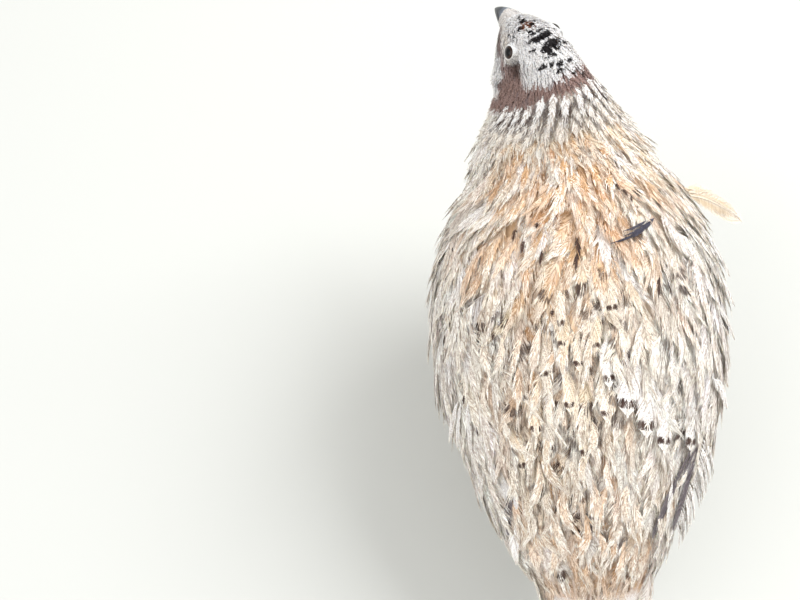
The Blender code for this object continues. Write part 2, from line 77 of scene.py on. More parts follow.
EYE_AT = (11.25, 34.0)            # station and angle of the left eye
EYE_SUNK = 2.05
EYE_RADIUS = 3.1
BILL_TIP = (71.0, 139.4)          # forward reach and height, before the head's turn
MOUTH_BACK = 140.6
MOUTH_DIP = 1.2
LOWER_BILL_SHORT = 1.6
NOSTRIL = (2.5, 65.4, 142.2)

ANKLE = (16.0, -33.0, 25.5)       # across, forward and up
THIGH_TOP = (16.0, -17.0, 47.0)
BALL = (16.0, -21.0, 2.6)         # the ball of the foot
ANKLE_LEAN = 20.0
ANKLE_BEND = 6.0
TARSUS_RADIUS = 1.75
SOLE_SINK = 0.7
TOES = [(-26, 17.0, 1.45), (2, 22.5, 1.6), (31, 17.5, 1.4), (176, 7.5, 1.2)]
CLAW = 4.2

LID_REACH = 3.7                   # how far the lids reach from the middle of the eye

WING_TIP = 2.1                    # stations between which the folded wing lies
WING_FRONT = 6.3

# Colours, linear.
CREAM = (0.90, 0.75, 0.54)
IVORY = (0.95, 0.915, 0.83)
WHITE = (0.945, 0.945, 0.935)
SNOW = (0.92, 0.94, 0.95)
BUFF = (0.76, 0.46, 0.23)
RUST = (0.17, 0.065, 0.035)
MAUVE = (0.31, 0.20, 0.175)
UMBER = (0.078, 0.050, 0.043)
BLACK = (0.012, 0.010, 0.011)
GREY = (0.15, 0.13, 0.145)


def catmull_rom(rows, t):
    """Rows of a table at the places t: the Catmull-Rom curve through the rows."""
    last = len(rows) - 1
    t = np.clip(t, 0, last - 1e-9)
    i = t.astype(int)
    u = (t - i)[:, None]
    p1 = rows[i]
    p2 = rows[i + 1]
    p0 = np.where((i == 0)[:, None], 2 * p1 - p2, rows[np.maximum(i - 1, 0)])
    p3 = np.where((i == last - 1)[:, None], 2 * p2 - p1, rows[np.minimum(i + 2, last)])
    return 0.5 * (2 * p1 + (p2 - p0) * u + (2 * p0 - 5 * p1 + 4 * p2 - p3) * u ** 2
                  + (3 * p1 - p0 - 3 * p2 + p3) * u ** 3)


def posed(points, s):
    """Across, forward and up to x, y and z: turned and leant as the body is at the stations s."""
    points = np.atleast_2d(np.asarray(points, float))
    rows = catmull_rom(STATIONS, np.broadcast_to(np.asarray(s, float), len(points)))
    turn = np.radians(rows[:, 7])
    ahead = points[:, 1] - TURN_AXIS
    x = points[:, 0] * np.cos(turn) + ahead * np.sin(turn) + rows[:, 6]
    forward = ahead * np.cos(turn) - points[:, 0] * np.sin(turn) + TURN_AXIS
    return np.stack([x, -forward, points[:, 2]], axis=1)


def body(s, phi):
    """Points of the body: an oval round the line from belly to back, at stations s, angles phi."""
    shape = np.broadcast(s, phi).shape
    s = np.broadcast_to(s, shape).astype(float).ravel()
    phi = np.broadcast_to(phi, shape).astype(float).ravel()
    rows = catmull_rom(STATIONS, s)
    middle = rows[:, 5]
    rise = np.sin(phi)
    up = middle + np.where(rise > 0, 1 - middle, middle) * rise
    line = rows[:, 2:4] + (rows[:, 0:2] - rows[:, 2:4]) * up[:, None]
    return posed(np.column_stack([rows[:, 4] * np.cos(phi), line]), s).reshape(*shape, 3)


def steps(s, phi, surface=body, step=1e-3):
    """How far a surface's point moves for each unit of s and of phi, as vectors."""
    along = (surface(s + step, phi) - surface(s - step, phi)) / (2 * step)
    return along, (surface(s, phi + step) - surface(s, phi - step)) / (2 * step)


def beside(*columns):
    """Numbers, rows of numbers and tables side by side, as the columns of one table."""
    count = max(np.size(column) if np.ndim(column) < 2 else len(column) for column in columns)
    return np.column_stack([column if np.ndim(column) == 2 else np.broadcast_to(column, count)
                            for column in columns])


def unit(vectors):
    return vectors / np.maximum(np.linalg.norm(vectors, axis=-1, keepdims=True), 1e-12)


def surface_normal(surface, s, phi):
    """The outward direction of a surface whose phi runs from left over the top, seen along s."""
    along, round_it = steps(s, phi, surface)
    return unit(np.cross(round_it, along))


def body_normal(s, phi):
    return surface_normal(body, s, phi)


def tube_surface(path, radii, aside):
    """A surface round a path: s from 0 to 1 along it, phi from the direction aside.

    Its points are the path's, plus the radius times cos phi aside and sin phi across that.
    """
    path = np.asarray(path, float)
    shares = np.linspace(0, 1, len(path))
    along = unit(np.gradient(path, axis=0))
    a = unit(np.asarray(aside, float) - along * (along @ np.asarray(aside, float))[:, None])
    table = np.column_stack([path, a, np.cross(along, a), radii])

    def surface(s, phi):
        s, phi = np.broadcast_arrays(np.asarray(s, float), phi)
        row = np.stack([np.interp(s, shares, column) for column in table.T], axis=-1)
        turn = row[..., 3:6] * np.cos(phi)[..., None] + row[..., 6:9] * np.sin(phi)[..., None]
        return row[..., 0:3] + turn * row[..., 9:10]

    return surface


def bezier(a, b, c, count):
    """Points of a curve from a to c that leaves a towards b and reaches c from b."""
    u = np.linspace(0, 1, count)[:, None]
    return a * (1 - u) ** 2 + 2 * b * u * (1 - u) + c * u ** 2


def side_angle(phi):
    """Degrees above the side, alike on her left and right: 90 on the back, -90 on the belly."""
    return np.degrees(np.arcsin(np.sin(phi)))


def ramp(x, low, high):
    """A smooth step: 0 up to low, 1 from high on."""
    u = np.clip((np.asarray(x, float) - low) / (high - low), 0, 1)
    return u * u * (3 - 2 * u)


def ripple(points, size, seed):
    """Smooth noise from about -1 to 1: six sine waves, size mm long, in seeded directions."""
    rng = np.random.default_rng(seed)
    waves = unit(rng.normal(size=(6, 3))) * rng.uniform(0.7, 1.5, (6, 1)) * 2 * math.pi / size
    phases = rng.uniform(0, 2 * math.pi, 6)
    return np.sin(points @ waves.T + phases).sum(axis=-1) / 3.0


def wing_height(s, phi):
    """How far the folded wing lifts the plumage over the body: a long low swelling on a side."""
    high = np.interp(s, [1.9, 2.4, 3.2, 4, 5, 5.8, 6.3, 6.8], [0, 1.2, 2.6, 3.9, 4.6, 4.4, 2.6, 0])
    angle = side_angle(phi)
    return high * ramp(angle, -30, -8) * (1 - ramp(angle, 34, 62))


def eye_frame(side):
    """The centre of one eye, the way it looks, and two directions across that."""
    phi = math.radians(EYE_AT[1] if side > 0 else 180 - EYE_AT[1])
    station = np.array([EYE_AT[0]])
    out = body_normal(station, np.array([phi]))[0]
    centre = body(station, np.array([phi]))[0] - EYE_SUNK * out
    along = unit(np.cross([0.0, 0.0, 1.0], out))
    return centre, out, along, np.cross(out, along)


eye_low, eye_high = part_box("eye_left")
SHIFT = np.array((eye_low + eye_high) / 2) / MM - eye_frame(1)[0]
EYES = np.array([eye_frame(1)[0], eye_frame(-1)[0]])


# Markings. Each patch is a station, an angle in degrees, how far it reaches in each, and its
# strength.
BUFF_WASHES = [
    (6.6, 69, 0.45, 14, 1.0), (6.35, 92, 0.45, 14, 1.0), (5.95, 81, 0.4, 14, 0.8),
    (7.25, 112, 0.22, 9, 1.0), (6.9, 44, 0.3, 10, 0.7), (5.7, 60, 0.35, 9, 0.7),
    (5.68, 131, 0.3, 9, 0.7), (5.1, 103, 0.35, 9, 0.7), (4.83, 64, 0.3, 8, 0.8),
    (4.65, 118, 0.3, 8, 0.7), (4.15, 68, 0.35, 9, 1.0), (3.7, 52, 0.3, 8, 0.9),
    (2.7, 99, 0.5, 13, 1.0), (2.85, 62, 0.3, 9, 0.7), (2.2, 84, 0.5, 16, 0.9),
    (1.6, 96, 0.5, 40, 0.8), (3.45, 80, 0.3, 9, 0.6), (5.0, 45, 0.3, 8, 0.5),
]
WHITE_WASHES = [
    (4.9, 152, 1.2, 28, 1.2), (3.6, 136, 0.9, 34, 1.2), (3.3, 8, 1.0, 30, 1.1),
    (5.2, 12, 0.9, 22, 0.8), (2.3, 165, 0.7, 26, 1.0),
]
BLOTCHES = [
    (4.20, 84, 0.35, 13, 0.9), (3.95, 69, 0.30, 9, 0.9), (3.65, 59, 0.35, 10, 1.0),
    (3.30, 63, 0.30, 10, 1.0), (3.60, 84, 0.35, 9, 0.9), (3.25, 82, 0.35, 10, 0.9),
    (3.00, 52, 0.30, 9, 0.8), (3.85, 95, 0.30, 7, 1.0), (3.45, 97, 0.30, 7, 0.9),
    (2.60, 80, 0.40, 20, 0.5), (2.30, 88, 0.25, 12, 0.8), (4.50, 98, 0.25, 8, 0.7),
    (4.45, 46, 0.25, 8, 0.6), (4.90, 85, 0.25, 8, 0.6),
]
CROWN_MARKS = [
    (12.08, 88, 0.15, 9, 1.1), (11.83, 71, 0.11, 9, 1.1), (11.75, 96, 0.11, 8, 1.1),
    (12.5, 94, 0.13, 8, 0.7), (11.5, 82, 0.08, 7, 1.0), (11.38, 81, 0.06, 9, 1.0),
    (11.38, 101, 0.06, 8, 1.0), (11.15, 99, 0.13, 15, 1.2), (11.15, 82, 0.11, 11, 1.2),
    (10.80, 100, 0.14, 15, 1.3), (10.73, 85, 0.14, 8, 1.3), (10.60, 102, 0.05, 5, 1.1),
    (10.50, 90, 0.06, 5, 1.0), (10.88, 67, 0.06, 5, 1.1), (10.50, 77, 0.05, 4, 1.0),
    (10.33, 68, 0.07, 7, 1.0), (10.28, 79, 0.11, 4, 1.1), (10.20, 93, 0.08, 6, 1.1),
    (10.03, 88, 0.07, 5, 1.0), (9.80, 108, 0.07, 7, 0.9), (9.60, 122, 0.06, 7, 0.9),
    (10.15, 109, 0.07, 6, 1.0), (11.88, 45, 0.05, 4, 0.9), (11.70, 53, 0.08, 4, 0.9),
    (10.65, 122, 0.08, 7, 0.9), (11.2, 128, 0.08, 6, 0.8), (11.83, 112, 0.08, 7, 0.9),
]
RUST_MARKS = [(11.82, 85, 0.15, 12, 1.1), (11.62, 90, 0.08, 8, 0.9)]

# Single feathers that the photo shows. A placed one has its root's station and angle, its tip's,
# half its width, and how high its root and tip lie over the plumage.
GREY_QUILLS = [
    (3.30, 149, 2.27, 149, 1.6, 0.9, 2.2), (3.02, 141, 2.15, 132, 1.5, 0.7, 1.6),
    (3.22, 144, 2.80, 137, 0.8, 1.0, 1.7), (3.24, 147, 2.92, 141, 0.7, 1.2, 1.9),
    (2.78, 38, 2.25, 18, 1.6, 0.4, 0.9),
]
WHITE_QUILLS = [
    (3.25, 146, 2.05, 153, 1.9, 0.6, 1.5), (2.85, 136, 2.30, 141, 1.0, 0.9, 1.9),
    (3.85, 22, 3.50, 10, 1.3, 0.4, 4.6), (3.82, 24, 3.42, 12, 1.2, 0.4, 3.2),
    (3.80, 29, 3.33, 21, 1.3, 0.4, 1.8), (2.40, 33, 1.80, 10, 2.4, 0.2, 2.6),
    (3.97, 149, 3.74, 167, 1.6, 0.3, 3.4), (3.99, 153, 3.79, 170, 1.4, 0.3, 2.8),
    (5.15, 150, 4.85, 167, 1.8, 0.3, 3.6), (5.48, 149, 5.18, 166, 1.7, 0.3, 3.4),
    (4.75, 150, 4.48, 167, 1.6, 0.3, 3.2),
]
# Dark down where the feathers part, right of the back line at the shoulders: partly its own dark
# colour, partly a painted shadow in the parting.
DARK_DOWN_AND_SHADOW = [
    (5.80, 121, 5.46, 105, 0.6, 1.2, 1.6), (5.70, 118, 5.38, 103, 0.5, 1.2, 1.6),
    (5.60, 114, 5.34, 99, 0.4, 1.1, 1.5), (5.74, 116, 5.52, 104, 0.4, 1.3, 1.8),
]
STRAY_COVERTS = [
    (6.24, 152, 5.76, 163, 2.3, 1.6, 12.0), (6.30, 152, 5.80, 162.5, 2.1, 1.8, 11.6),
    (6.38, 152, 5.90, 162, 2.0, 1.7, 9.6),
]
# A spotted feather has a pair of ovals round a station and angle, and half its width. A streak
# is a narrow black one: the station and angle of its tip, its length and half its width.
SPOTTED = [
    (3.59, 103.5, 4.4), (3.39, 114, 4.4), (3.25, 125, 3.8), (3.29, 141, 3.6), (3.84, 95, 2.9),
    (4.00, 83, 2.4), (3.93, 68, 2.4), (3.72, 60, 2.5), (3.40, 61, 2.4), (3.20, 66, 2.4),
    (3.60, 78, 2.4), (3.38, 83, 2.4), (3.12, 84, 2.4), (3.50, 94, 2.4), (3.05, 50, 2.3),
    (4.22, 77, 2.3), (4.18, 89, 2.3), (4.55, 97, 2.2), (4.42, 76, 2.2), (2.42, 88, 2.0),
]
STREAKS = [
    (5.48, 57, 5, 0.8), (5.64, 67, 3.5, 0.8), (5.30, 61, 5, 0.8), (5.10, 69, 6, 0.9),
    (5.16, 85, 7, 0.8), (4.98, 83, 6, 0.7), (6.32, 106, 4, 0.7), (6.20, 109, 4, 0.8),
    (6.08, 111, 4, 0.8), (5.96, 113, 4, 0.7), (4.88, 24, 4, 0.8), (4.62, 27, 6, 0.6),
    (4.62, 19, 6, 0.5), (4.56, 52, 3.5, 0.7), (4.36, 48, 4, 0.8), (4.44, 31, 4, 0.6),
    (4.50, 73, 4, 0.7), (4.36, 92, 3.5, 0.8), (4.48, 109, 5, 0.7), (4.76, 123, 8, 0.6),
    (4.70, 117, 8, 0.6), (3.80, 27, 3, 0.8), (3.62, 55, 6, 0.5), (3.45, 30, 4, 0.6),
]


def patches(table, s, phi):
    """How strongly the patches of a table mark each place: the strongest of round soft spots."""
    angle = np.degrees(np.mod(phi + BACK, 2 * math.pi)) - 90
    strength = np.zeros(np.shape(s))
    for station, degrees, reach, spread, amount in table:
        far = ((s - station) / reach) ** 2 + ((angle - degrees) / spread) ** 2
        strength = np.maximum(strength, amount * np.exp(-far * 0.8))
    return strength


def blend(low, high, share):
    """A mix of two colours for each share from 0 to 1."""
    share = np.asarray(share, float)[..., None]
    return np.asarray(low, float) * (1 - share) + np.asarray(high, float) * share


def ground_colour(s, phi):
    """The plumage's colour at a place, without the marks of single feathers.

    Cream over the body, whiter down the sides, with buff washes on the back and a buff breast;
    the neck fades through a mauve band at the nape into the white crown; the cheeks are
    mauve-brown with a dark ear patch, the lores grey-brown and the throat white.
    """
    angle = side_angle(phi)
    places = body(s, phi)
    cloud = ripple(places, 26, 11)
    colour = blend(CREAM, WHITE, 0.85 * ramp(-angle + 14 * cloud, -55, -20))
    wash = patches(BUFF_WASHES, s, phi) + 0.15 * ramp(cloud, 0.1, 0.9) * ramp(angle, 10, 50)
    mantle = ramp(s, 4.4, 5.4) * (1 - ramp(s, 7.3, 8.0)) + 1 - ramp(s, 2.0, 3.0)
    wash += 0.42 * mantle * ramp(angle, 15, 55)
    colour = blend(colour, BUFF, np.clip(wash, 0, 1))
    colour = blend(colour, WHITE, 0.95 * np.clip(patches(WHITE_WASHES, s, phi), 0, 1))
    breast = ramp(s, 5.0, 6.4) * (1 - ramp(angle, -45, -10)) * (1 - ramp(s, 8.8, 9.6))
    colour = blend(colour, BUFF, 0.6 * breast)
    colour = blend(colour, WHITE, 0.5 * ramp(s, 7.7, 8.3) * ramp(angle, -25, 10))
    nape = ramp(s + 0.08 * ripple(places, 7, 4), 9.0, 9.3) * ramp(angle, -60, -30)
    colour = blend(colour, MAUVE, nape * (1 - ramp(s, 9.9, 10.2)))
    crown_edge = 9.78 + 0.2 * ramp(-angle, -60, -35)
    crown = ramp(s + 0.07 * ripple(places, 4, 3), crown_edge - 0.1, crown_edge + 0.1)
    colour = blend(colour, SNOW, crown * ramp(angle + 4 * ripple(places, 5, 6), 30, 42))
    cheek_top = angle + 20 * ramp(s, 10.75, 11.05)
    cheek = ramp(s, 9.3, 9.9) * (1 - ramp(cheek_top, 32, 42))
    brown = blend(MAUVE, (0.37, 0.28, 0.27), ramp(s + 0.1 * cloud, 10.2, 11.3))
    colour = blend(colour, brown, cheek)
    raised = ramp(s, 10.35, 10.6) * (1 - 0.7 * ramp(s, 11.3, 11.5))
    throat = ramp(-angle + 14 * raised + 2 * ripple(places, 6, 5), 1, 7)
    colour = blend(colour, SNOW, throat * ramp(s, 9.6, 10.2))
    rim = np.exp(-((s - 10.42) / 0.10) ** 2 - ((angle + 3) / 7) ** 2)
    ear = np.exp(-((s - 10.66) / 0.26) ** 2 - ((angle - 33) / 7) ** 2)
    colour = blend(colour, UMBER, np.clip(rim + 1.6 * ear, 0, 0.93))
    lores = ramp(s, 11.4, 12.0) * (1 - ramp(angle, 8, 22)) * ramp(angle, -12, 2)
    return blend(colour, (0.30, 0.23, 0.20), 0.7 * lores * (1 - ramp(s, 12.6, 13.0)))


def crown_paint(colour, s, phi, own=0.0):
    """Colours with the crown's black and rust marks, and how strong the marks are there.

    The marks are ragged by noise and, on feathers, by each one's own number.
    """
    noise = 0.16 * ripple(body(s, phi), 1.5, 31) + own
    black, rust = patches(CROWN_MARKS, s, phi), patches(RUST_MARKS, s, phi)
    black = ramp(black + noise * ramp(black, 0.05, 0.3), 0.45, 0.56)
    rust = ramp(rust + 2 * noise * ramp(rust, 0.05, 0.3), 0.50, 0.64)
    return blend(blend(colour, BLACK, black), RUST, rust), np.maximum(black, rust)


class Nodes:
    """A node tree to fill: each method adds a node, with its values and links."""

    def __init__(self, owner):
        self.tree = getattr(owner, "node_tree", owner)
        self.tree.nodes.clear()

    def add(self, kind, inputs=(), **settings):
        made = self.tree.nodes.new(kind)
        for name, value in settings.items():
            setattr(made, name, value)
        for socket, value in dict(inputs).items():
            target = made.inputs[socket]
            if isinstance(value, bpy.types.NodeSocket):
                self.tree.links.new(value, target)
            else:
                target.default_value = (*value, 1.0) if target.type == "RGBA" else value
        return made

    def math(self, operation, a, b=0.0, c=0.0, clamp=False):
        used = {"ABSOLUTE": 1, "MULTIPLY_ADD": 3}.get(operation, 2)
        return self.add("ShaderNodeMath", enumerate((a, b, c)[:used]), operation=operation,
                        use_clamp=clamp).outputs[0]

    def smooth(self, value, low, high):
        """0 where the value is at low, 1 at high, in a smooth step."""
        return self.add("ShaderNodeMapRange", {"Value": value, "From Min": low, "From Max": high},
                        interpolation_type="SMOOTHSTEP").outputs["Result"]

    def mix(self, share, a, b):
        return self.add("ShaderNodeMix", {0: share, 6: a, 7: b}, data_type="RGBA").outputs[2]

    def noise(self, scale, detail=2.0, kind="Noise"):
        where = self.add("ShaderNodeTexCoord").outputs["Object"]
        inputs = {"Vector": where, "Scale": scale, "Detail": detail}
        return self.add("ShaderNodeTex" + kind, inputs).outputs[0]

    def attribute(self, name, output="Color"):
        return self.add("ShaderNodeAttribute", attribute_name=name).outputs[output]


def new_group(name, **sockets):
    """A shader node group with its sockets, each given as its way in or out and its type."""
    group = bpy.data.node_groups.new(name, "ShaderNodeTree")
    for title, (way, kind) in sockets.items():
        group.interface.new_socket(title.replace("_", " "), in_out=way,
                                   socket_type="NodeSocket" + kind)
    return group, Nodes(group)


NUMBER_IN, COLOUR_IN = ("INPUT", "Float"), ("INPUT", "Color")
NUMBER_OUT, COLOUR_OUT = ("OUTPUT", "Float"), ("OUTPUT", "Color")


def web_group():
    """The web of a feather: its shaft, barbs, pale fringe and dark blotch, from two attributes.

    ground is the web's colour. marks holds how dark the blotch is, how pale the fringe is, how
    pale the shaft is, and how far along the feather the blotch lies. The strands of barbs are
    painted lighter and the gaps between them darker: painted shade between the strands.
    """
    group, nodes = new_group("feather web", Barbs=NUMBER_IN, Spot_Narrow=NUMBER_IN,
                             Spot_Out=NUMBER_IN, Dark=COLOUR_IN, Pale=COLOUR_IN,
                             Colour=COLOUR_OUT, Height=NUMBER_OUT)
    calc, smooth = nodes.math, nodes.smooth
    given = nodes.add("NodeGroupInput").outputs
    vane = nodes.add("ShaderNodeUVMap", uv_map="Vane").outputs[0]
    side, along, _ = nodes.add("ShaderNodeSeparateXYZ", {0: vane}).outputs
    across = calc("ABSOLUTE", calc("MULTIPLY_ADD", side, 2, -1))
    marks = nodes.add("ShaderNodeAttribute", attribute_name="marks").outputs
    dark, pale, shaft_pale = nodes.add("ShaderNodeSeparateColor", {0: marks["Color"]}).outputs
    # Barbs are streaks of noise that run along the swept lines of the web.
    swept = calc("MULTIPLY_ADD", across, -0.45, along)
    lines = calc("MULTIPLY_ADD", swept, given["Barbs"], calc("MULTIPLY", marks["Alpha"], 90.0))
    barbs = nodes.add("ShaderNodeTexNoise", {"W": lines, "Scale": 1.0},
                      noise_dimensions="1D").outputs[0]
    strand = smooth(barbs, 0.38, 0.58)
    # The blotch is an oval on each web, made ragged and smaller or larger by noise.
    down = calc("MULTIPLY", calc("SUBTRACT", along, marks["Alpha"]), given["Spot Narrow"])
    out = calc("MULTIPLY", calc("SUBTRACT", across, given["Spot Out"]), 3.0)
    far = calc("ADD", calc("POWER", down, 2.0), calc("POWER", out, 2.0))
    oval = calc("ADD", far, calc("MULTIPLY_ADD", nodes.noise(260.0, 3.0), 2.6, -1.3))
    blotch = calc("MULTIPLY", smooth(oval, 1.25, 0.55), dark, clamp=True)
    # The fringe follows the sides and, more broadly, the tip.
    ragged = calc("MULTIPLY_ADD", barbs, 0.7, -0.35)
    edge = calc("ADD", across, ragged)
    tip = smooth(calc("ADD", along, ragged), 0.66, 0.98)
    fringe = calc("MAXIMUM", smooth(edge, 0.45, 0.9), tip)
    fringe = calc("MAXIMUM", fringe, calc("MULTIPLY", smooth(barbs, 0.50, 0.68), 0.5))
    fringe = calc("MULTIPLY", fringe, pale, clamp=True)
    # The shaft's pale stripe is wider where it is stronger.
    inside = calc("SUBTRACT", calc("MULTIPLY_ADD", shaft_pale, 0.6, 0.06), edge)
    shaft = calc("MULTIPLY", smooth(inside, -0.08, 0.08),
                 calc("MULTIPLY", shaft_pale, 1.6, clamp=True), clamp=True)
    colour = nodes.mix(fringe, nodes.attribute("ground"), given["Pale"])
    colour = nodes.mix(blotch, nodes.mix(shaft, colour, given["Pale"]), given["Dark"])
    # Strands of barbs are painted lighter, and the gaps between them are painted darker and
    # browner: painted shade for the shadow that falls between the strands.
    shade = nodes.mix(strand, (0.62, 0.55, 0.51), (1.13, 1.13, 1.13))
    colour_with_painted_shade = nodes.add("ShaderNodeVectorMath", {0: colour, 1: shade}, operation="MULTIPLY")
    height = calc("MULTIPLY_ADD", nodes.noise(900.0), 0.15, strand)
    nodes.add("NodeGroupOutput", {"Colour": colour_with_painted_shade.outputs[0], "Height": height})
    return group


def mottle_group():
    """Mottled skin: the attribute ground, times noise that is spread out over the least value."""
    group, nodes = new_group("mottled skin", Scale=NUMBER_IN, Detail=NUMBER_IN, Spread=NUMBER_IN,
                             Least=NUMBER_IN, Colour=COLOUR_OUT)
    given = nodes.add("NodeGroupInput").outputs
    noise = nodes.noise(given["Scale"], given["Detail"])
    shade = nodes.math("MULTIPLY_ADD", noise, given["Spread"], given["Least"])
    mottled = nodes.add("ShaderNodeVectorMath", {0: nodes.attribute("ground"), "Scale": shade},
                        operation="SCALE")
    nodes.add("NodeGroupOutput", {"Colour": mottled.outputs[0]})
    return group


def finish_material(name, roughness, look=None, relief=0.0001, strength=0.4, **sockets):
    """A Principled material. look adds nodes and gives their colour and their height, or None."""
    made = bpy.data.materials.new(name)
    made.use_nodes = True
    nodes = Nodes(made)
    inputs = {socket.replace("_", " "): value for socket, value in sockets.items()}
    if look:
        inputs["Base Color"], height = look(nodes)
        if height is not None:
            inputs["Normal"] = nodes.add("ShaderNodeBump", {
                "Height": height, "Distance": relief, "Strength": strength}).outputs[0]
    shader = nodes.add("ShaderNodeBsdfPrincipled", {"Roughness": roughness, **inputs})
    nodes.add("ShaderNodeOutputMaterial", {"Surface": shader.outputs[0]})
    return made


def feather_material(name, barbs, pale, group, spot=(8.5, 0.50)):
    """A feather's finish: matt and a little silky, with its web worked out by the group.

    spot is how narrow the blotches are along the feather, and how far out they lie on the webs.
    """
    def look(nodes):
        web = nodes.add("ShaderNodeGroup", {
            "Barbs": barbs, "Spot Narrow": spot[0], "Spot Out": spot[1], "Dark": UMBER,
            "Pale": pale}, node_tree=group)
        return web.outputs["Colour"], web.outputs["Height"]

    return finish_material(name, 0.7, look, 0.0001, 0.25, Specular_IOR_Level=0.15,
                           Subsurface_Weight=0.2, Subsurface_Scale=1.0,
                           Subsurface_Radius=(0.0024, 0.0018, 0.0012))


def make_piece(name, points, faces, finish, replaced=(), colours=(), maps=()):
    """A mesh from points in mm and arrays of faces, riding on the bird.

    colours are point attributes and maps are UV maps, each a name with an array for the points.
    """
    mesh = bpy.data.meshes.new(name)
    points = (np.asarray(points, float) + SHIFT) * MM
    corners = np.concatenate([group.ravel() for group in faces]).astype(np.int32)
    sizes = np.concatenate([np.full(len(group), group.shape[1]) for group in faces])
    mesh.vertices.add(len(points))
    mesh.vertices.foreach_set("co", points.astype(np.float32).ravel())
    mesh.loops.add(len(corners))
    mesh.loops.foreach_set("vertex_index", corners)
    mesh.polygons.add(len(sizes))
    mesh.polygons.foreach_set("loop_start", np.concatenate([[0], np.cumsum(sizes)[:-1]]))
    mesh.update(calc_edges=True)
    for title, values in dict(colours).items():
        values = np.asarray(values, float)
        if values.shape[1] == 3:
            values = beside(values, 1.0)
        made = mesh.attributes.new(title, "FLOAT_COLOR", "POINT")
        made.data.foreach_set("color", values.astype(np.float32).ravel())
    for title, values in dict(maps).items():
        made = mesh.uv_layers.new(name=title)
        made.data.foreach_set("uv", np.asarray(values, np.float32)[corners].ravel())
    mesh.materials.append(finish)
    mesh.shade_smooth()
    piece = bpy.data.objects.new(name, mesh)
    bpy.context.scene.collection.objects.link(piece)
    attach(piece, "root")
    if replaced:
        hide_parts(*replaced)
    return piece


def grid_faces(rows, columns, wrap=False):
    """Quads of a grid of points in rows, where wrap joins each row's last point to its first."""
    j = np.arange(columns if wrap else columns - 1)
    k = (j + 1) % columns
    i = np.arange(rows - 1)[:, None] * columns
    quads = np.stack([i + j, i + k, i + k + columns, i + j + columns], axis=-1)
    return quads.reshape(-1, 4)


def unwrap(s, phi):
    """Where a place on the body lies on the skin's own unwrap: angle across, station up."""
    return np.stack([np.mod(phi + BACK, 2 * math.pi) / (2 * math.pi), 0.8 * s / LAST], axis=-1)


PATCH = 0.003                     # how wide one feather's patch is on that unwrap
WEB_SHARES = [0, 0.08, 0.25, 0.5, 0.72, 0.88, 0.97, 1]
WEB_WIDTHS = [0.12, 0.40, 0.78, 1, 1, 0.86, 0.58, 0.22]
LOCK = 5.0                        # how many barbs cling together


class Feathers:
    """A set of feathers on a surface, each an entry in arrays of the same length.

    s, phi: the root's place on the surface. turn_s, turn_phi: from the root to the tip. length:
    in mm. low, high: the heights of root and tip over the surface. half: half the width. bend:
    how far the shaft bows sideways, as a share of its length. roll: how far the vane tilts about
    its shaft. fray: how loose its barbs are. arch: how high the shaft bows. ground, marks: its
    colours.
    """

    def __init__(self, surface, s, phi, turn_s, turn_phi, low, high, half, bend=0.0, roll=0.0,
                 fray=0.4, arch=0.0):
        self.surface = surface
        self.s, self.phi = np.asarray(s, float), np.asarray(phi, float)
        full = np.ones(len(self.s))
        self.turn_s, self.turn_phi = full * turn_s, full * turn_phi
        self.low, self.high, self.half = full * low, full * high, full * half
        self.bend, self.roll = full * bend, full * roll
        self.fray, self.arch = full * fray, full * arch
        root = surface(self.s, self.phi)
        middle = surface(self.s + self.turn_s / 2, self.phi + self.turn_phi / 2)
        tip = surface(self.s + self.turn_s, self.phi + self.turn_phi)
        self.length = (np.linalg.norm(middle - root, axis=-1)
                       + np.linalg.norm(tip - middle, axis=-1))
        self.ground = self.marks = None

    @classmethod
    def placed(cls, rows, **settings):
        """Feathers from rows of the form that the tables of single feathers have."""
        s, angle, tip_s, tip_angle, half, low, high = np.array(rows, float).T
        phi, tip_phi = np.radians(angle), np.radians(tip_angle)
        return cls(body, s, phi, tip_s - s, tip_phi - phi, wing_height(s, phi) + low,
                   wing_height(tip_s, tip_phi) + high, half, **settings)

    def line(self, samples):
        """Points, and forward, outward and sideways directions, along each shaft.

        The shaft runs from root to tip over the surface, its height rising as the share to the
        power 0.85 with an arch of half a sine wave, and bows sideways by another.
        """
        t = np.linspace(0, 1, samples)
        wave = np.sin(math.pi * t)
        s = self.s[:, None] + self.turn_s[:, None] * t
        phi = self.phi[:, None] + self.turn_phi[:, None] * t
        high = (self.low[:, None] + (self.high - self.low)[:, None] * t ** 0.85
                + self.arch[:, None] * wave)
        out = surface_normal(self.surface, s, phi)
        place = self.surface(s, phi) + out * high[..., None]
        forward = unit(np.gradient(place, axis=1))
        bow = (self.bend * self.length)[:, None, None] * wave[:, None]
        place = place + unit(np.cross(forward, out)) * bow
        forward = unit(np.gradient(place, axis=1))
        out = unit(out - forward * np.sum(out * forward, axis=-1, keepdims=True))
        return place, forward, out, np.cross(forward, out)


def sampled(values, t):
    """Values along each feather, read between samples at the shares t, one row for a feather."""
    last = values.shape[1] - 1
    x = np.clip(t, 0, 1) * last
    i = np.minimum(x.astype(int), last - 1)
    u = (x - i)[..., None]
    rows = np.arange(len(values)).reshape(-1, *([1] * (t.ndim - 1)))
    return values[rows, i] * (1 - u) + values[rows, i + 1] * u


def strip_triangles(rows, columns, strips):
    """Triangles of many grids of points of one size, and which strip each point belongs to."""
    quads = grid_faces(rows, columns)
    quads = (quads[None] + np.arange(strips)[:, None, None] * rows * columns).reshape(-1, 4)
    return (np.concatenate([quads[:, :3], quads[:, [0, 2, 3]]]),
            np.repeat(np.arange(strips), rows * columns))


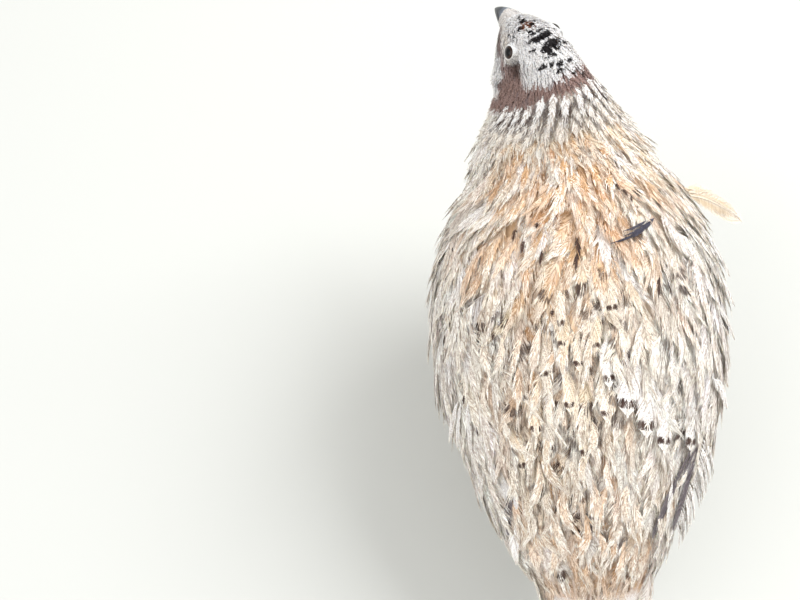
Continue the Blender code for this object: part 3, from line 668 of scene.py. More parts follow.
def barb_mesh(centre, wide, twist):
    """Points and triangles of barbs: strips two points wide round centre lines, each to a point."""
    count, barbs, steps_a_barb, _ = centre.shape
    both = np.stack([centre - wide + twist, centre + wide - twist], axis=3)[:, :, :-1]
    points = np.concatenate([both.reshape(count, barbs, -1, 3), centre[:, :, -1:]], axis=2)
    corners = 2 * steps_a_barb - 1
    k = np.arange(steps_a_barb - 2) * 2
    one = np.concatenate([beside(k, k + 1, k + 3), beside(k, k + 3, k + 2),
                          [[corners - 3, corners - 2, corners - 1]]])
    first = np.arange(count * barbs)[:, None, None] * corners
    return points.reshape(-1, 3), (one[None] + first).reshape(-1, 3)


def tipped(values):
    """Values along barbs for the points of their strips: each twice, and the tip's once."""
    return np.concatenate([np.repeat(values[..., :-1], 2, axis=2), values[..., -1:]], axis=2)


def vane_mesh(feathers, barbs, points_a_barb, samples, seed, sweep=0.2, shaft=0.16, web=0.62,
              draw=0.0):
    """Points, triangles, vane coordinates and feather numbers of a set of feathers.

    A feather is a closed web along the shaft, a roof-shaped shaft on it, and on each side barbs:
    narrow strips that leave the shaft, swing towards the tip as a quarter sine wave and taper to
    a point. web is the share of the width that the closed web fills, and draw how far the
    barbs of a lock draw together.
    """
    rng = np.random.default_rng(seed)
    place, forward, out, across = feathers.line(samples)
    count = len(place)
    t = np.linspace(0, 1, samples)
    half = feathers.half[:, None]
    fray = feathers.fray[:, None]
    tilt = feathers.roll[:, None, None]
    parts = []

    def ribbon(offset, raised, u):
        """Keeps a strip three points wide along each shaft, with its place on the vane."""
        points = (place[:, :, None] + across[:, :, None] * offset[..., None]
                  + out[:, :, None] * raised[..., None])
        uv = np.stack(np.broadcast_arrays(u, t[:, None]), axis=-1)
        parts.append((points.reshape(-1, 3), *strip_triangles(samples, 3, count),
                      np.tile(uv.reshape(-1, 2), (count, 1))))

    # The closed web: three points across, a little lower at its edges.
    cols = np.array([-1.0, 0.0, 1.0])
    offset = half[..., None] * np.interp(t, WEB_SHARES, WEB_WIDTHS)[:, None] * web * cols
    ribbon(offset, -0.2 * np.abs(offset) + tilt * offset - 0.12, 0.5 + 0.5 * cols * web)
    if shaft:
        # The shaft: a low roof that thins to the tip.
        thick = shaft * (1 - 0.75 * t)[None, :, None] * (0.5 + 0.5 * half[..., None] / 3.0)
        ribbon(cols * thick, np.array([0.0, 1.0, 0.0]) * thick + 0.03, 0.5 + 0.02 * cols)
    # The barbs of both sides. They cling together in locks, which share much of their chances
    # and draw together towards their tips.
    q = np.linspace(0, 1, points_a_barb)
    swing = np.sin(q * math.pi / 2)
    one = np.arange(count)[:, None]
    gap = feathers.length[:, None, None] / barbs * 0.5
    for side in (-1.0, 1.0):
        start = np.linspace(0.06, 0.97, barbs) + rng.uniform(-0.4, 0.4, (count, barbs)) / barbs
        number = (np.arange(barbs) + rng.uniform(0, LOCK, (count, 1))) / LOCK
        chance = rng.normal(size=(3, count, int(barbs / LOCK) + 2))[:, one, number.astype(int)]
        chance = 0.85 * chance + 0.45 * rng.normal(size=(3, count, barbs))
        forth = np.clip(sweep * (1 + 0.4 * fray * chance[0]), 0.06, 0.8) * (1.1 - 0.75 * start)
        reach = np.interp(np.clip(start + forth, 0, 1), WEB_SHARES, WEB_WIDTHS)
        reach = half * reach * (1 + fray * 0.35 * chance[1]) * (1.06 - start ** 4)
        reach = np.clip(reach, 0.05 * half, 1.5 * half)
        lift = fray * 0.12 * half * chance[2]
        drawn = draw * (0.5 - np.mod(number, 1)) * LOCK / barbs
        where = start[..., None] + forth[..., None] * q ** 1.25 + drawn[..., None] * q ** 1.5
        v = reach[..., None] * swing
        past = np.maximum(where - 1, 0) * feathers.length[:, None, None]
        up = sampled(out, where)
        drop = -0.2 * v + tilt * side * v + lift[..., None] * q ** 1.5
        centre = (sampled(place, where) + sampled(forward, where) * past[..., None]
                  + sampled(across, where) * (side * v)[..., None] + up * drop[..., None])
        thin = gap * 0.75 * (1 - 0.6 * q) * np.ones((count, barbs, 1))
        heading = unit(np.gradient(centre, axis=2))
        twist = up * (rng.normal(size=(count, barbs, 1, 1)) * 0.22 * thin[..., None])
        points, triangles = barb_mesh(centre, np.cross(heading, up) * thin[..., None], twist)
        share = tipped(np.broadcast_to(swing, where.shape))
        uv = np.stack([0.5 + 0.5 * side * share, np.clip(tipped(where), 0, 1)], axis=-1)
        parts.append((points, triangles, np.repeat(np.arange(count), len(points) // count),
                      uv.reshape(-1, 2)))
    firsts = np.cumsum([0] + [len(part[0]) for part in parts])
    points, triangles, owner, uv = zip(*parts)
    return (np.concatenate(points),
            np.concatenate([group + first for group, first in zip(triangles, firsts)]),
            np.concatenate(uv), np.concatenate(owner))


def coat_piece(name, feathers, finish, counts, seed, slot="body_feathers", replaced=(),
               baked=unwrap, roots_at=None, paint=None, **form):
    """A set of feathers as one mesh piece, with its colours and its two UV maps.

    counts are the barbs on a side, the points of a barb and the samples of a shaft. paint puts
    marks on the colours where the parts of each feather lie.
    """
    points, triangles, vane, owner = vane_mesh(feathers, *counts, seed, **form)
    root = baked(*(roots_at or (feathers.s, feathers.phi)))[owner]
    ground, marks = feathers.ground[owner], feathers.marks[owner]
    if paint:
        own = np.random.default_rng(seed).normal(0, 0.14, len(feathers.s))
        ground, strong = paint(ground, feathers.s[owner] + vane[:, 1] * feathers.turn_s[owner],
                               feathers.phi[owner] + vane[:, 1] * feathers.turn_phi[owner],
                               own[owner])
        marks[:, 1:3] *= (1 - strong)[:, None]
    make_piece(name, points, [triangles], finish, replaced,
               colours={"ground": ground, "marks": marks},
               maps={"Vane": vane, "OFBake": root + (vane - 0.5) * PATCH})


def plain_piece(name, feathers, finish, colour, counts, seed, dark=0.0, fringe=0.5, stripe=0.2,
                blotch_at=None, colour_seed=None, **form):
    """A piece of feathers of one colour, each a little lighter or darker by chance."""
    rng = np.random.default_rng(colour_seed or seed - 1)
    feathers.ground = np.asarray(colour) * rng.uniform(0.85, 1.1, (len(feathers.s), 1))
    blotch = rng.uniform(0.5, 0.75, len(feathers.s))
    if blotch_at:
        blotch[:] = blotch_at
    feathers.marks = beside(dark, fringe, stripe, blotch)
    coat_piece(name, feathers, finish, counts, seed, **form)


def roots(s_range, phi_range, pitch, seed, keep=None, long=1.5):
    """Stations and angles of feather roots, evenly spread over a stretch of the body.

    Rows of roots run round the body, as many pitches apart as long says. Along a row a root
    stands wherever the area passed since the last one comes to the pitch times the rows' gap.
    """
    rng = np.random.default_rng(seed)
    phi = np.linspace(*np.radians(phi_range), 500)
    found_s, found_phi = [], []
    s = s_range[0]
    row = 0
    while s < s_range[1]:
        gap = pitch(s)
        along, round_it = steps(np.full(500, s), phi)
        reach = np.linalg.norm(along, axis=1)
        step = long * gap / np.percentile(reach, 85)
        area = np.linalg.norm(np.cross(along, round_it), axis=1) * step * (phi[1] - phi[0])
        passed = np.cumsum(area) / (long * gap ** 2) + 0.5 * (row % 2) + rng.uniform(0, 0.3)
        picks = np.flatnonzero(np.diff(np.floor(passed)) > 0)
        wobble = rng.uniform(-0.35, 0.35, (2, len(picks)))
        turn = gap / np.linalg.norm(round_it, axis=1)[picks]
        found_s.append(s + wobble[0] * step)
        found_phi.append(phi[picks] + wobble[1] * turn)
        s += step
        row += 1
    s, phi = np.concatenate(found_s), np.concatenate(found_phi)
    if keep is not None:
        chosen = keep(s, phi)
        s, phi = s[chosen], phi[chosen]
    return s, phi


def along_body(stations, values):
    """A function of the station that reads a size between the given stations."""
    return lambda s: np.interp(s, stations, values)


SIZE_AT = [0, 2, 4, 5.5, 6.5, 7.3, 8, 8.8, 9.6, 10.5, 11.5, 12.3, 13]
LENGTH = along_body(SIZE_AT, [16, 20, 22, 20, 17, 14.5, 12.5, 9.5, 5.6, 4.2, 3.6, 2.7, 1.9])
HALF = along_body(SIZE_AT, [3.4, 4.2, 4.6, 4.3, 3.6, 2.8, 2.3, 1.8, 0.6, 0.46, 0.42, 0.34, 0.26])
PITCH = along_body(SIZE_AT, [3.6, 4.2, 4.5, 4.2, 3.6, 3.0, 2.5, 1.9, 1.0, 0.80, 0.74, 0.60, 0.48])
DEPTH = along_body([0, 1.5, 3, 6, 7.3, 8.5, 9.6, 11, 12.3, 13],
                   [1.5, 2.4, 3.2, 3.2, 2.8, 2.2, 1.7, 1.1, 0.6, 0.1])


def wing_angle(s, share, side):
    """The angle on the body of a share of the wing's breadth, low edge to high, in degrees."""
    where = (s - WING_TIP) / (WING_FRONT - WING_TIP)
    low = np.interp(where, [0, 0.15, 0.4, 0.75, 0.9, 1], [-6, -10, -18, -24, -18, -2])
    high = np.interp(where, [0, 0.15, 0.4, 0.75, 0.9, 1], [36, 40, 48, 52, 46, 30])
    angle = low + (high - low) * share
    return angle if side > 0 else 180 - angle


def over_wing(s, phi):
    """True where a root lies on the folded wing, well within its upper edge."""
    angle = side_angle(phi)
    low, high = wing_angle(s, 0.0, 1), wing_angle(s, 1.0, 1)
    return (s > 2.9) & (s < 6.15) & (angle > low + 4) & (angle < high - 10)


def headed(surface, s, phi, reach, spread):
    """The turns from root to tip of feathers that reach so far along s and spread along phi."""
    along, round_it = steps(s, phi, surface)
    middle = s + 0.5 * reach / np.linalg.norm(along, axis=-1)
    along, further = steps(middle, phi, surface)
    size = (np.linalg.norm(round_it, axis=-1) + np.linalg.norm(further, axis=-1)) / 2
    return reach / np.linalg.norm(along, axis=-1), spread / np.maximum(size, 1.5)


def clear_of_eyes(s, phi, room):
    """True where a root lies clear of both eyes."""
    return np.linalg.norm(body(s, phi)[:, None] - EYES[None], axis=-1).min(axis=1) > room


def body_feathers(s, phi, seed, longer=1.0, wider=1.0):
    """Contour feathers at roots on the body, with sizes from the stations.

    They point to the tail and fan out from the back line at the shoulders, with slow eddies and
    a small turn of each one's own. They rise from the skin to the surface, or to the wing's.
    """
    rng = np.random.default_rng(seed)
    count = len(s)
    places = body(s, phi)
    angle = side_angle(phi)
    on_left = np.where(np.cos(phi) > 0, 1.0, -1.0)
    length = LENGTH(s) * rng.uniform(0.82, 1.15, count) * longer
    mantle = ramp(s, 3.6, 5.6) * (1 - ramp(s, 7.2, 8.4)) * (1 - ramp(angle, 62, 86))
    outward = np.radians(13 * mantle * ramp(angle, -30, 20) + 3)
    loose = ramp(-s, -10.2, -7.5)
    heading = (np.radians((3 + 9 * loose) * ripple(places, 24, 21)
                          + (4 + 8 * loose) * rng.normal(size=count)) - on_left * outward)
    turn_s, turn_phi = headed(body, s, phi, -length * np.cos(heading), length * np.sin(heading))
    turn_s = np.maximum(turn_s, 0.05 - s)
    lifted = wing_height(s, phi)
    tips = wing_height(s + turn_s, phi + turn_phi)
    ruffle = np.abs(ripple(places, 17, 22)) * 0.5 + 1.4 * rng.uniform(0, 1, count) ** 2
    high = np.maximum(tips, 0) + (0.2 + ruffle) * np.clip(length / 18, 0.1, 1)
    high += 1.6 * np.exp(-((s - 11.0) / 0.45) ** 2 - ((angle + 14) / 16) ** 2)
    flank = ramp(s, 2.6, 3.4) * (1 - ramp(s, 8.4, 9.0)) * (1 - ramp(angle, 15, 45))
    high += 2.0 * flank * rng.uniform(0, 1, count) ** 3
    return Feathers(body, s, phi, turn_s, turn_phi, lifted - DEPTH(s), high,
                    HALF(s) * rng.uniform(0.85, 1.15, count) * wider,
                    bend=0.09 * rng.normal(size=count), roll=0.07 * rng.normal(size=count),
                    fray=0.25 + 0.35 * loose * rng.uniform(0.5, 1.2, count),
                    arch=0.25 * np.clip(length / 18, 0.1, 1))


def part_round_eyes(feathers):
    """Turns the feathers that would cross an eye, so that they pass round its lids."""
    tip = body(np.clip(feathers.s + feathers.turn_s, 0, LAST), feathers.phi + feathers.turn_phi)
    away = tip[:, None] - EYES[None]
    far = np.linalg.norm(away, axis=-1)
    nearest = far.argmin(axis=1)
    away = unit(away[np.arange(len(tip)), nearest])
    push = away * np.maximum(3.55 - far.min(axis=1), 0)[:, None]
    along, round_it = steps(feathers.s, feathers.phi)
    feathers.turn_s += np.sum(push * along, axis=1) / np.sum(along ** 2, axis=1)
    feathers.turn_phi += np.sum(push * round_it, axis=1) / np.sum(round_it ** 2, axis=1)


def tip_place(feathers):
    """Station and angle of where the outer part of each feather shows."""
    s = feathers.s + 0.78 * feathers.turn_s
    return np.clip(s, 0, LAST), feathers.phi + 0.78 * feathers.turn_phi


def colour_body(feathers, seed):
    """Colours contour feathers: the ground where they show, varied, with dark blotches on the back
    and breast, pale fringes, and pale shafts.
    """
    rng = np.random.default_rng(seed)
    s, phi = tip_place(feathers)
    count = len(s)
    angle = side_angle(phi)
    ground = ground_colour(s, phi)
    kind = rng.uniform(size=count) + 0.25 * ripple(body(s, phi), 14, 41)
    back = ramp(angle, 0, 35) * (1 - ramp(s, 7.4, 8.2))
    back *= 1 - 0.9 * np.clip(patches(WHITE_WASHES, s, phi), 0, 1)
    ground = blend(ground, BUFF, 0.75 * back * ramp(kind, 0.62, 0.85))
    ground = blend(ground, WHITE, 0.8 * ramp(-kind, -0.38, -0.12))
    ground = ground * rng.uniform(0.86, 1.08, (count, 1)) * rng.normal(1, 0.012, (count, 3))
    # The lower back is painted up to 12 % darker: painted shade, for the shadowed down between its
    # tufts.
    lower_back_shade = ramp(s, 1.8, 2.6) * (1 - ramp(s, 4.4, 5.0)) * ramp(angle, 25, 55)
    ground = ground * (1 - 0.12 * lower_back_shade)[:, None]
    breast = ramp(s, 5.2, 6.4) * (1 - ramp(s, 8.2, 8.8)) * (1 - ramp(angle, -30, 5))
    chance = 0.05 * ramp(angle, -10, 30) + 0.45 * breast
    chance += ramp(patches(BLOTCHES, s, phi), 0.12, 0.5)
    chance *= 1 - ramp(s, 7.2, 7.6) * ramp(angle, -30, 0)
    dark = np.where(rng.uniform(size=count) < chance, rng.uniform(0.75, 1.0, count), 0.0)
    band = ramp(s, 8.95, 9.15) * ramp(angle, -45, -15)
    fringe = rng.uniform(0.4, 1.0, count) * (1 - 0.8 * band)
    shaft = rng.uniform(0.0, 0.25, count) * (1 - band)
    feathers.ground = ground
    feathers.marks = beside(dark, fringe, shaft, rng.uniform(0.66, 0.84, count))


def colour_head(feathers, seed):
    """Colours the head's feathers as the ground, with grey streaks, before marks are painted."""
    rng = np.random.default_rng(seed)
    s, phi = tip_place(feathers)
    count = len(s)
    ground = ground_colour(s, phi) * rng.uniform(0.90, 1.05, (count, 1))
    streak = (rng.uniform(size=count) < 0.14) * ramp(side_angle(phi), 0, 35)
    ground = blend(ground, GREY, 0.5 * streak)
    fringe = 0.35 * brightness(ground) ** 2
    feathers.ground, feathers.marks = ground, beside(0.0, fringe, 0.3 * fringe, 0.5)


def brightness(colour):
    return np.clip(np.asarray(colour).mean(axis=-1) / 0.6, 0, 1)


def leg_point(place, side):
    """Across, forward and up to x, y and z for one leg, which the neck's turn leaves alone."""
    return np.array([side * place[0], -place[1], place[2]])


ANKLE_DOWN = np.array([0.0, math.sin(math.radians(ANKLE_LEAN)),
                       -math.cos(math.radians(ANKLE_LEAN))])


def thigh_surface(side, inset=0.0):
    """The drumstick's surface, s from 0 at the ankle to 1 at the belly."""
    ankle = leg_point(ANKLE, side)
    path = bezier(leg_point(THIGH_TOP, side), ankle - ANKLE_DOWN * 14, ankle, 40)[::-1]
    radii = np.interp(np.linspace(1, 0, 40), [0, 0.35, 0.7, 0.9, 1], [11, 11.5, 8.0, 4.4, 2.7])
    return tube_surface(path, np.maximum(radii - inset, 1.2), [1.0, 0, 0])


def lid_surface(side):
    """Both lids of an eye as a dish: s falls as a point lies farther out, phi turns round.

    The opening is an oval. From its rim on the eyeball the lids rise, bulge and then sink into
    the face, their height over the eye's middle read off a profile.
    """
    centre, out, along, up = eye_frame(side)

    def surface(s, phi):
        s, phi = np.broadcast_arrays(np.asarray(s, float), phi)
        opening = 1.98 - 0.16 * np.sin(phi) ** 2
        far = opening + (LID_REACH - opening) * (1 - s)
        height = np.interp(1 - s, [0, 0.05, 0.14, 0.3, 0.5, 0.75, 1],
                           [2.38, 2.56, 2.60, 2.42, 2.05, 1.5, 0.7])
        ring = along * np.cos(phi)[..., None] + up * np.sin(phi)[..., None]
        return centre + ring * far[..., None] + out * height[..., None]

    return surface


def near_eye(points, side):
    """Stations and angles of points by an eye, as if the face were flat there."""
    phi = math.radians(EYE_AT[1] if side > 0 else 180 - EYE_AT[1])
    along, round_it = steps(np.array([EYE_AT[0]]), np.array([phi]))
    away = points - EYES[0 if side > 0 else 1]
    return (EYE_AT[0] + away @ along[0] / np.sum(along ** 2),
            phi + away @ round_it[0] / np.sum(round_it ** 2))


def mouth_line(share):
    return MOUTH_BACK - MOUTH_DIP * np.maximum(share, 0) ** 1.6


def bill_forward(up, share, short=0.0):
    """Forward reach from the face's sloping front to the tip, for heights and shares of it."""
    back, belly = STATIONS[LAST, 0:2], STATIONS[LAST, 2:4]
    start = back[0] + (belly[0] - back[0]) * (back[1] - up) / (back[1] - belly[1])
    return start + (BILL_TIP[0] - short - start) * share


def posed_grid(across, forward, up):
    flat = np.column_stack([across.ravel(), forward.ravel(), up.ravel()])
    return posed(flat, LAST).reshape(*across.shape, 3)


def upper_bill(s, phi):
    """The upper half of the bill: s from the face at 13 to the tip at 14, phi over its top.

    Its ridge falls by the share to the tip to the power 2.1 and its width narrows by the rest to
    the power 0.75. A flap bulges over each nostril, with the slit as a groove under it.
    """
    s, phi = np.broadcast_arrays(np.asarray(s, float), phi)
    share = np.clip(s - LAST, -0.3, 0.985)
    top, half = STATIONS[LAST, 1], STATIONS[LAST, 4]
    low = mouth_line(share)
    high = top - (top - BILL_TIP[1]) * np.maximum(share, 0) ** 2.1
    width = half * np.clip(1 - share, 0, 1) ** 0.75 + 0.3 * share
    lean = 0.8 + 0.2 * np.abs(np.cos(phi))
    up = low + (high - low) * np.clip(np.sin(phi), 0, 1) ** 0.9
    forward = bill_forward(up, share)
    near_slit = ((forward - NOSTRIL[1]) / 1.7) ** 2
    flap = 0.42 * np.exp(-near_slit - ((up - NOSTRIL[2] - 0.75) / 0.75) ** 2)
    groove = 0.55 * np.exp(-near_slit - ((up - NOSTRIL[2] + 0.15) / 0.28) ** 2)
    return posed_grid((width * lean + flap - groove) * np.cos(phi), forward, up)


def lower_bill(s, phi):
    """The lower half of the bill, phi under it from her left to her right."""
    s, phi = np.broadcast_arrays(np.asarray(s, float), phi)
    share = np.clip(s - LAST, -0.3, 0.985)
    edge = mouth_line(share) - 0.12
    bottom = STATIONS[LAST, 3]
    deep = bottom + (mouth_line(1.0) - 0.7 - bottom) * np.maximum(share, 0) ** 1.4
    width = (STATIONS[LAST, 4] - 0.5) * np.clip(1 - share, 0, 1) ** 0.75 + 0.25 * share
    up = edge + (deep - edge) * np.sin(phi)
    return posed_grid(width * np.cos(phi), bill_forward(up, share, LOWER_BILL_SHORT), up)


def closed_grid(surface, rows, columns, half_round=False, ends=(0.0, 1.0)):
    """A grid over a surface, joined round and closed at both ends, with each point's s and phi.

    It goes once round, or from 0 to half a turn, where the joining faces make it flat.
    """
    s = np.linspace(ends[0], ends[1], rows)[:, None]
    phi = np.linspace(0, math.pi, columns) if half_round else (
        np.arange(columns) * 2 * math.pi / columns)
    s, phi = np.broadcast_arrays(s, phi[None])
    points = surface(s, phi)
    k = np.arange(columns)
    following = (k + 1) % columns
    first = rows * columns
    caps = [beside(first, following, k),
            beside(first + 1, k + first - columns, following + first - columns)]
    faces = [grid_faces(rows, columns, wrap=True), np.concatenate(caps)]
    flat = np.concatenate([points.reshape(-1, 3), [points[0].mean(axis=0)],
                           [points[-1].mean(axis=0)]])
    return flat, faces, np.append(s.ravel(), ends), np.append(phi.ravel(), [BACK, BACK])


def joined(parts):
    """Several (points, faces, columns...) as one: faces renumbered, the others stacked."""
    total = 0
    faces = {3: [], 4: []}
    for part in parts:
        for group in part[1]:
            faces[group.shape[1]].append(group + total)
        total += len(part[0])
    stacked = [np.concatenate([part[k] for part in parts]) for k in range(2, len(parts[0]))]
    faces = [np.concatenate(group) for group in faces.values() if group]
    return [np.concatenate([part[0] for part in parts]), faces] + stacked


def skin_piece(finish):
    """One skin from tail to bill, with both drumsticks and the lids of both eyes."""
    def inset(s, phi):
        depth = 0.6 * wing_height(s, phi) - DEPTH(s) - 0.15
        return body(s, phi) + body_normal(s, phi) * depth[..., None]

    flat, faces, s, phi = closed_grid(inset, 150, 96, ends=(0.7, LAST))
    colour = crown_paint(ground_colour(s, phi), s, phi)[0]
    parts = [(flat, faces, colour, unwrap(s, phi))]
    for k, side in enumerate((1, -1)):
        flat, faces, s, phi = closed_grid(thigh_surface(side, 1.3), 40, 32)
        parts.append((flat, faces, np.tile(np.asarray(CREAM) * 0.7, (len(flat), 1)),
                      leg_unwrap(s, phi, k)))
        s, phi = np.meshgrid(np.linspace(0, 1, 22), np.arange(64) * math.pi / 32, indexing="ij")
        flat = lid_surface(side)(s, phi).reshape(-1, 3)
        rim = ramp(s.ravel(), 0.86, 0.97)
        colour = blend(0.8 * ground_colour(*near_eye(flat, side)), (0.30, 0.275, 0.285), rim)
        parts.append((flat, [grid_faces(22, 64, wrap=True)], colour,
                      unwrap(np.full(len(flat), EYE_AT[0]), phi.ravel() * 0.01 + k)))
    points, faces, colour, bake = joined(parts)
    return make_piece("skin", points, faces, finish,
                      ["torso", "neck", "head", "tail", "thigh_left", "thigh_right"],
                      colours={"ground": colour}, maps={"OFBake": bake})


def leg_unwrap(s, phi, k):
    """Where a place on a drumstick lies on the skin's unwrap, in the strip above the body's."""
    across = np.mod(phi + BACK, 2 * math.pi) / (2 * math.pi)
    return np.stack([(across + k) / 2, 0.83 + 0.16 * s], axis=-1)


def mottled_look(group, scale, detail, spread, least, height):
    """A look with the mottled colour, and a height worked out by the function height."""
    def look(nodes):
        mottle = nodes.add("ShaderNodeGroup", {"Scale": scale, "Detail": detail, "Spread": spread,
                                               "Least": least}, node_tree=group)
        return mottle.outputs[0], height(nodes)

    return look


HAIRY = {"sweep": 0.56, "web": 0.4, "shaft": 0.08, "draw": 0.8}


def body_coat(large):
    """The contour feathers of the body and neck, by region, clear of the wings."""
    edges = [0.9, 2.5, 3.5, 4.5, 5.5, 6.5, 7.3, 9.55]
    regions = ["rump", "loins", "back", "mantle", "shoulders", "breast", "neck"]
    for k, name in enumerate(regions):
        on_neck = name == "neck"
        s, phi = roots(edges[k:k + 2], (-90, 270), PITCH, 200 if on_neck else 100 + k,
                       None if on_neck else lambda s, phi: ~over_wing(s, phi),
                       long=1.2 if on_neck else 1.5)
        feathers = body_feathers(s, phi, 210 if on_neck else 110 + k)
        colour_body(feathers, 220 if on_neck else 120 + k)
        coat_piece("coat_" + name, feathers, large, (26, 3, 6) if on_neck else (60, 3, 8),
                   230 if on_neck else 130 + k, **HAIRY)


NAPE_ROWS = [9.40, 9.02, 8.66]  # stations of the roots, and how far the feathers are apart
NAPE_GAP = 3.7
NAPE_LENGTH = 9.6


def nape_coat(barred):
    """Rows of white feathers with dark edges, side by side round the back of the neck."""
    rng = np.random.default_rng(240)
    found = []
    for row, station in enumerate(NAPE_ROWS):
        phi = np.radians(np.linspace(-10, 190, 400))
        walked = np.linalg.norm(np.diff(body(np.full(400, station), phi), axis=0), axis=1)
        walked = np.append(0, np.cumsum(walked))
        at = np.arange(0.5 * NAPE_GAP * (row % 2), walked[-1], NAPE_GAP)
        at += rng.uniform(-0.35, 0.35, len(at))
        found.append(beside(station + rng.uniform(-0.10, 0.10, len(at)),
                            np.interp(at, walked, phi), row))
    s, phi, row = np.concatenate(found).T
    angle = side_angle(phi)
    keep = angle + 6 * rng.normal(size=len(s)) > 8 + 4 * row
    s, phi, row = s[keep], phi[keep], row[keep]
    count = len(s)
    length = NAPE_LENGTH * rng.uniform(0.85, 1.1, count)
    lean = np.radians(3 * rng.normal(size=count)) - np.cos(phi) * math.radians(8)
    turn_s, turn_phi = headed(body, s, phi, -length * np.cos(lean), length * np.sin(lean))
    nape = Feathers(body, s, phi, turn_s, turn_phi, -0.3, 1.1 + 0.4 * rng.uniform(size=count),
                    NAPE_GAP * 0.6, roll=0.08 * rng.normal(size=count), fray=0.3, arch=0.2)
    nape.ground = blend(WHITE, CREAM, 0.15 * row + 0.1 * rng.uniform(size=count))
    dark = np.clip(rng.uniform(0.85, 1.2, count) - 0.25 * row, 0, 1)
    nape.marks = beside(dark, 0.0, 0.0, rng.uniform(0.5, 0.68, count))
    coat_piece("coat_nape", nape, barred, (36, 3, 8), 241, sweep=0.55, web=0.5, shaft=0.06,
               draw=0.6)


LID_ROWS = [0.80, 0.66, 0.50, 0.34]     # how far in on the lids the rows of feathers root
LIDS_A_ROW = 44


def head_coat(small):
    """The short feathers of the head, parted round the eyes, and those over the bill's base."""
    s, phi = roots((9.45, 12.99), (-90, 270), PITCH, 300,
                   lambda s, phi: clear_of_eyes(s, phi, 3.4), long=1.0)
    upper = side_angle(phi) > 30
    for k, (name, chosen) in enumerate((("coat_crown", upper), ("coat_face", ~upper))):
        head = body_feathers(s[chosen], phi[chosen], 310 + k)
        part_round_eyes(head)
        colour_head(head, 320 + k)
        coat_piece(name, head, small, (6, 3, 4), 330 + k, "head_feathers", shaft=0, web=0.75,
                   paint=crown_paint)
    rng = np.random.default_rng(340)
    count = 640
    phi = np.radians(rng.uniform(4, 176, count))
    s = LAST + rng.uniform(0, 1, count) * (0.28 + 0.16 * np.sin(phi) ** 2)
    turn_s, turn_phi = headed(upper_bill, s, phi, -rng.uniform(1.6, 2.6, count),
                              0.3 * rng.normal(size=count))
    base = Feathers(upper_bill, s, phi, turn_s, turn_phi, -0.05, 0.4, 0.28, fray=0.6)
    plain_piece("coat_bill_base", base, small, (0.66, 0.62, 0.58), (5, 3, 4), 342, fringe=0.6,
                slot="head_feathers", roots_at=(np.full(count, LAST - 0.05), phi), shaft=0,
                web=0.6)
    for side, name in SIDES:
        row = np.repeat(np.arange(len(LID_ROWS)), LIDS_A_ROW)
        place = np.tile(np.arange(LIDS_A_ROW), len(LID_ROWS)) + 0.5 * row
        s = np.array(LID_ROWS)[row] + rng.uniform(-0.04, 0.04, len(row))
        phi = place * 2 * math.pi / LIDS_A_ROW + rng.uniform(-0.05, 0.05, len(row))
        lids = Feathers(lid_surface(side), s, phi, -0.7, 0.5 * np.sin(phi), 0.0, 0.3, 0.2,
                        fray=0.5)
        colour = 0.92 * ground_colour(*near_eye(lid_surface(side)(s - 0.35, phi), side))
        streaked = np.random.default_rng(346).uniform(size=(len(s), 1)) < 0.25
        bake_at = (np.full(len(s), EYE_AT[0]), np.radians(EYE_AT[1]) + 0.08 * np.cos(phi))
        plain_piece("coat_lids_" + name, lids, small, colour * np.where(streaked, 0.5, 1.0),
                    (4, 3, 4), 344, fringe=0.1, stripe=0.0, slot="head_feathers",
                    roots_at=bake_at, shaft=0, web=0.6)


WING_FLIGHTS = [                  # count, root and tips, shares of the breadth, heights, half
    (9, (4.2, 2.35, 2.1), (0.02, 0.80), (0.6, 0.7), 3.3),
    (11, (4.75, 3.05, 2.55), (0.10, 1.0), (1.2, 1.3), 3.4),
]


def wing_coat(side, name, large, flight):
    """A folded wing: grey flight feathers with pale edges, and rows of coverts over them."""
    s, phi = roots((2.9, 6.15), (-90, 90) if side > 0 else (90, 270), PITCH, 400 + side,
                   over_wing)
    coverts = body_feathers(s, phi, 410 + side, longer=0.95, wider=1.05)
    coverts.low += DEPTH(s) - 1.6
    colour_body(coverts, 420 + side)
    coat_piece("coat_wing_" + name, coverts, large, (60, 3, 8), 430 + side,
               replaced=["wing_" + name], **HAIRY)
    rng = np.random.default_rng(440 + side)
    rows = []
    for count, (root, tip_low, tip_high), (first, last), lift, half in WING_FLIGHTS:
        k = (np.arange(count) + 0.5) / count
        share = first + (last - first) * k
        tip = tip_low + (tip_high - tip_low) * k
        start = np.radians(wing_angle(root, share, side))
        end = np.radians(wing_angle(tip, share, side))
        rows.append(beside(root, start, tip - root, end - start, lift[0], lift[1] + 0.2 * k,
                           half))
    s, phi, turn_s, turn_phi, low, high, half = np.concatenate(rows).T
    quills = Feathers(body, s, phi, turn_s, turn_phi, low, high, half, roll=-0.2 * side,
                      bend=0.015 * rng.normal(size=len(s)), fray=0.16)
    plain_piece("flight_" + name, quills, flight, (0.72, 0.68, 0.64), (46, 4, 18), 450 + side,
                fringe=0.9, stripe=0.15, colour_seed=441, sweep=0.10, web=0.86, shaft=0.3)


TAIL_FANS = [     # count, spread either way, root and tip, half, heights, shorter at the sides
    (12, 58, (1.45, 0.05), 3.4, (-1.8, -0.8), 0.30),
    (14, 60, (1.75, 0.62), 3.2, (-1.4, 1.0), 0.25),
    (12, -60, (1.55, 0.50), 3.0, (-1.8, 0.6), 0.20),
]


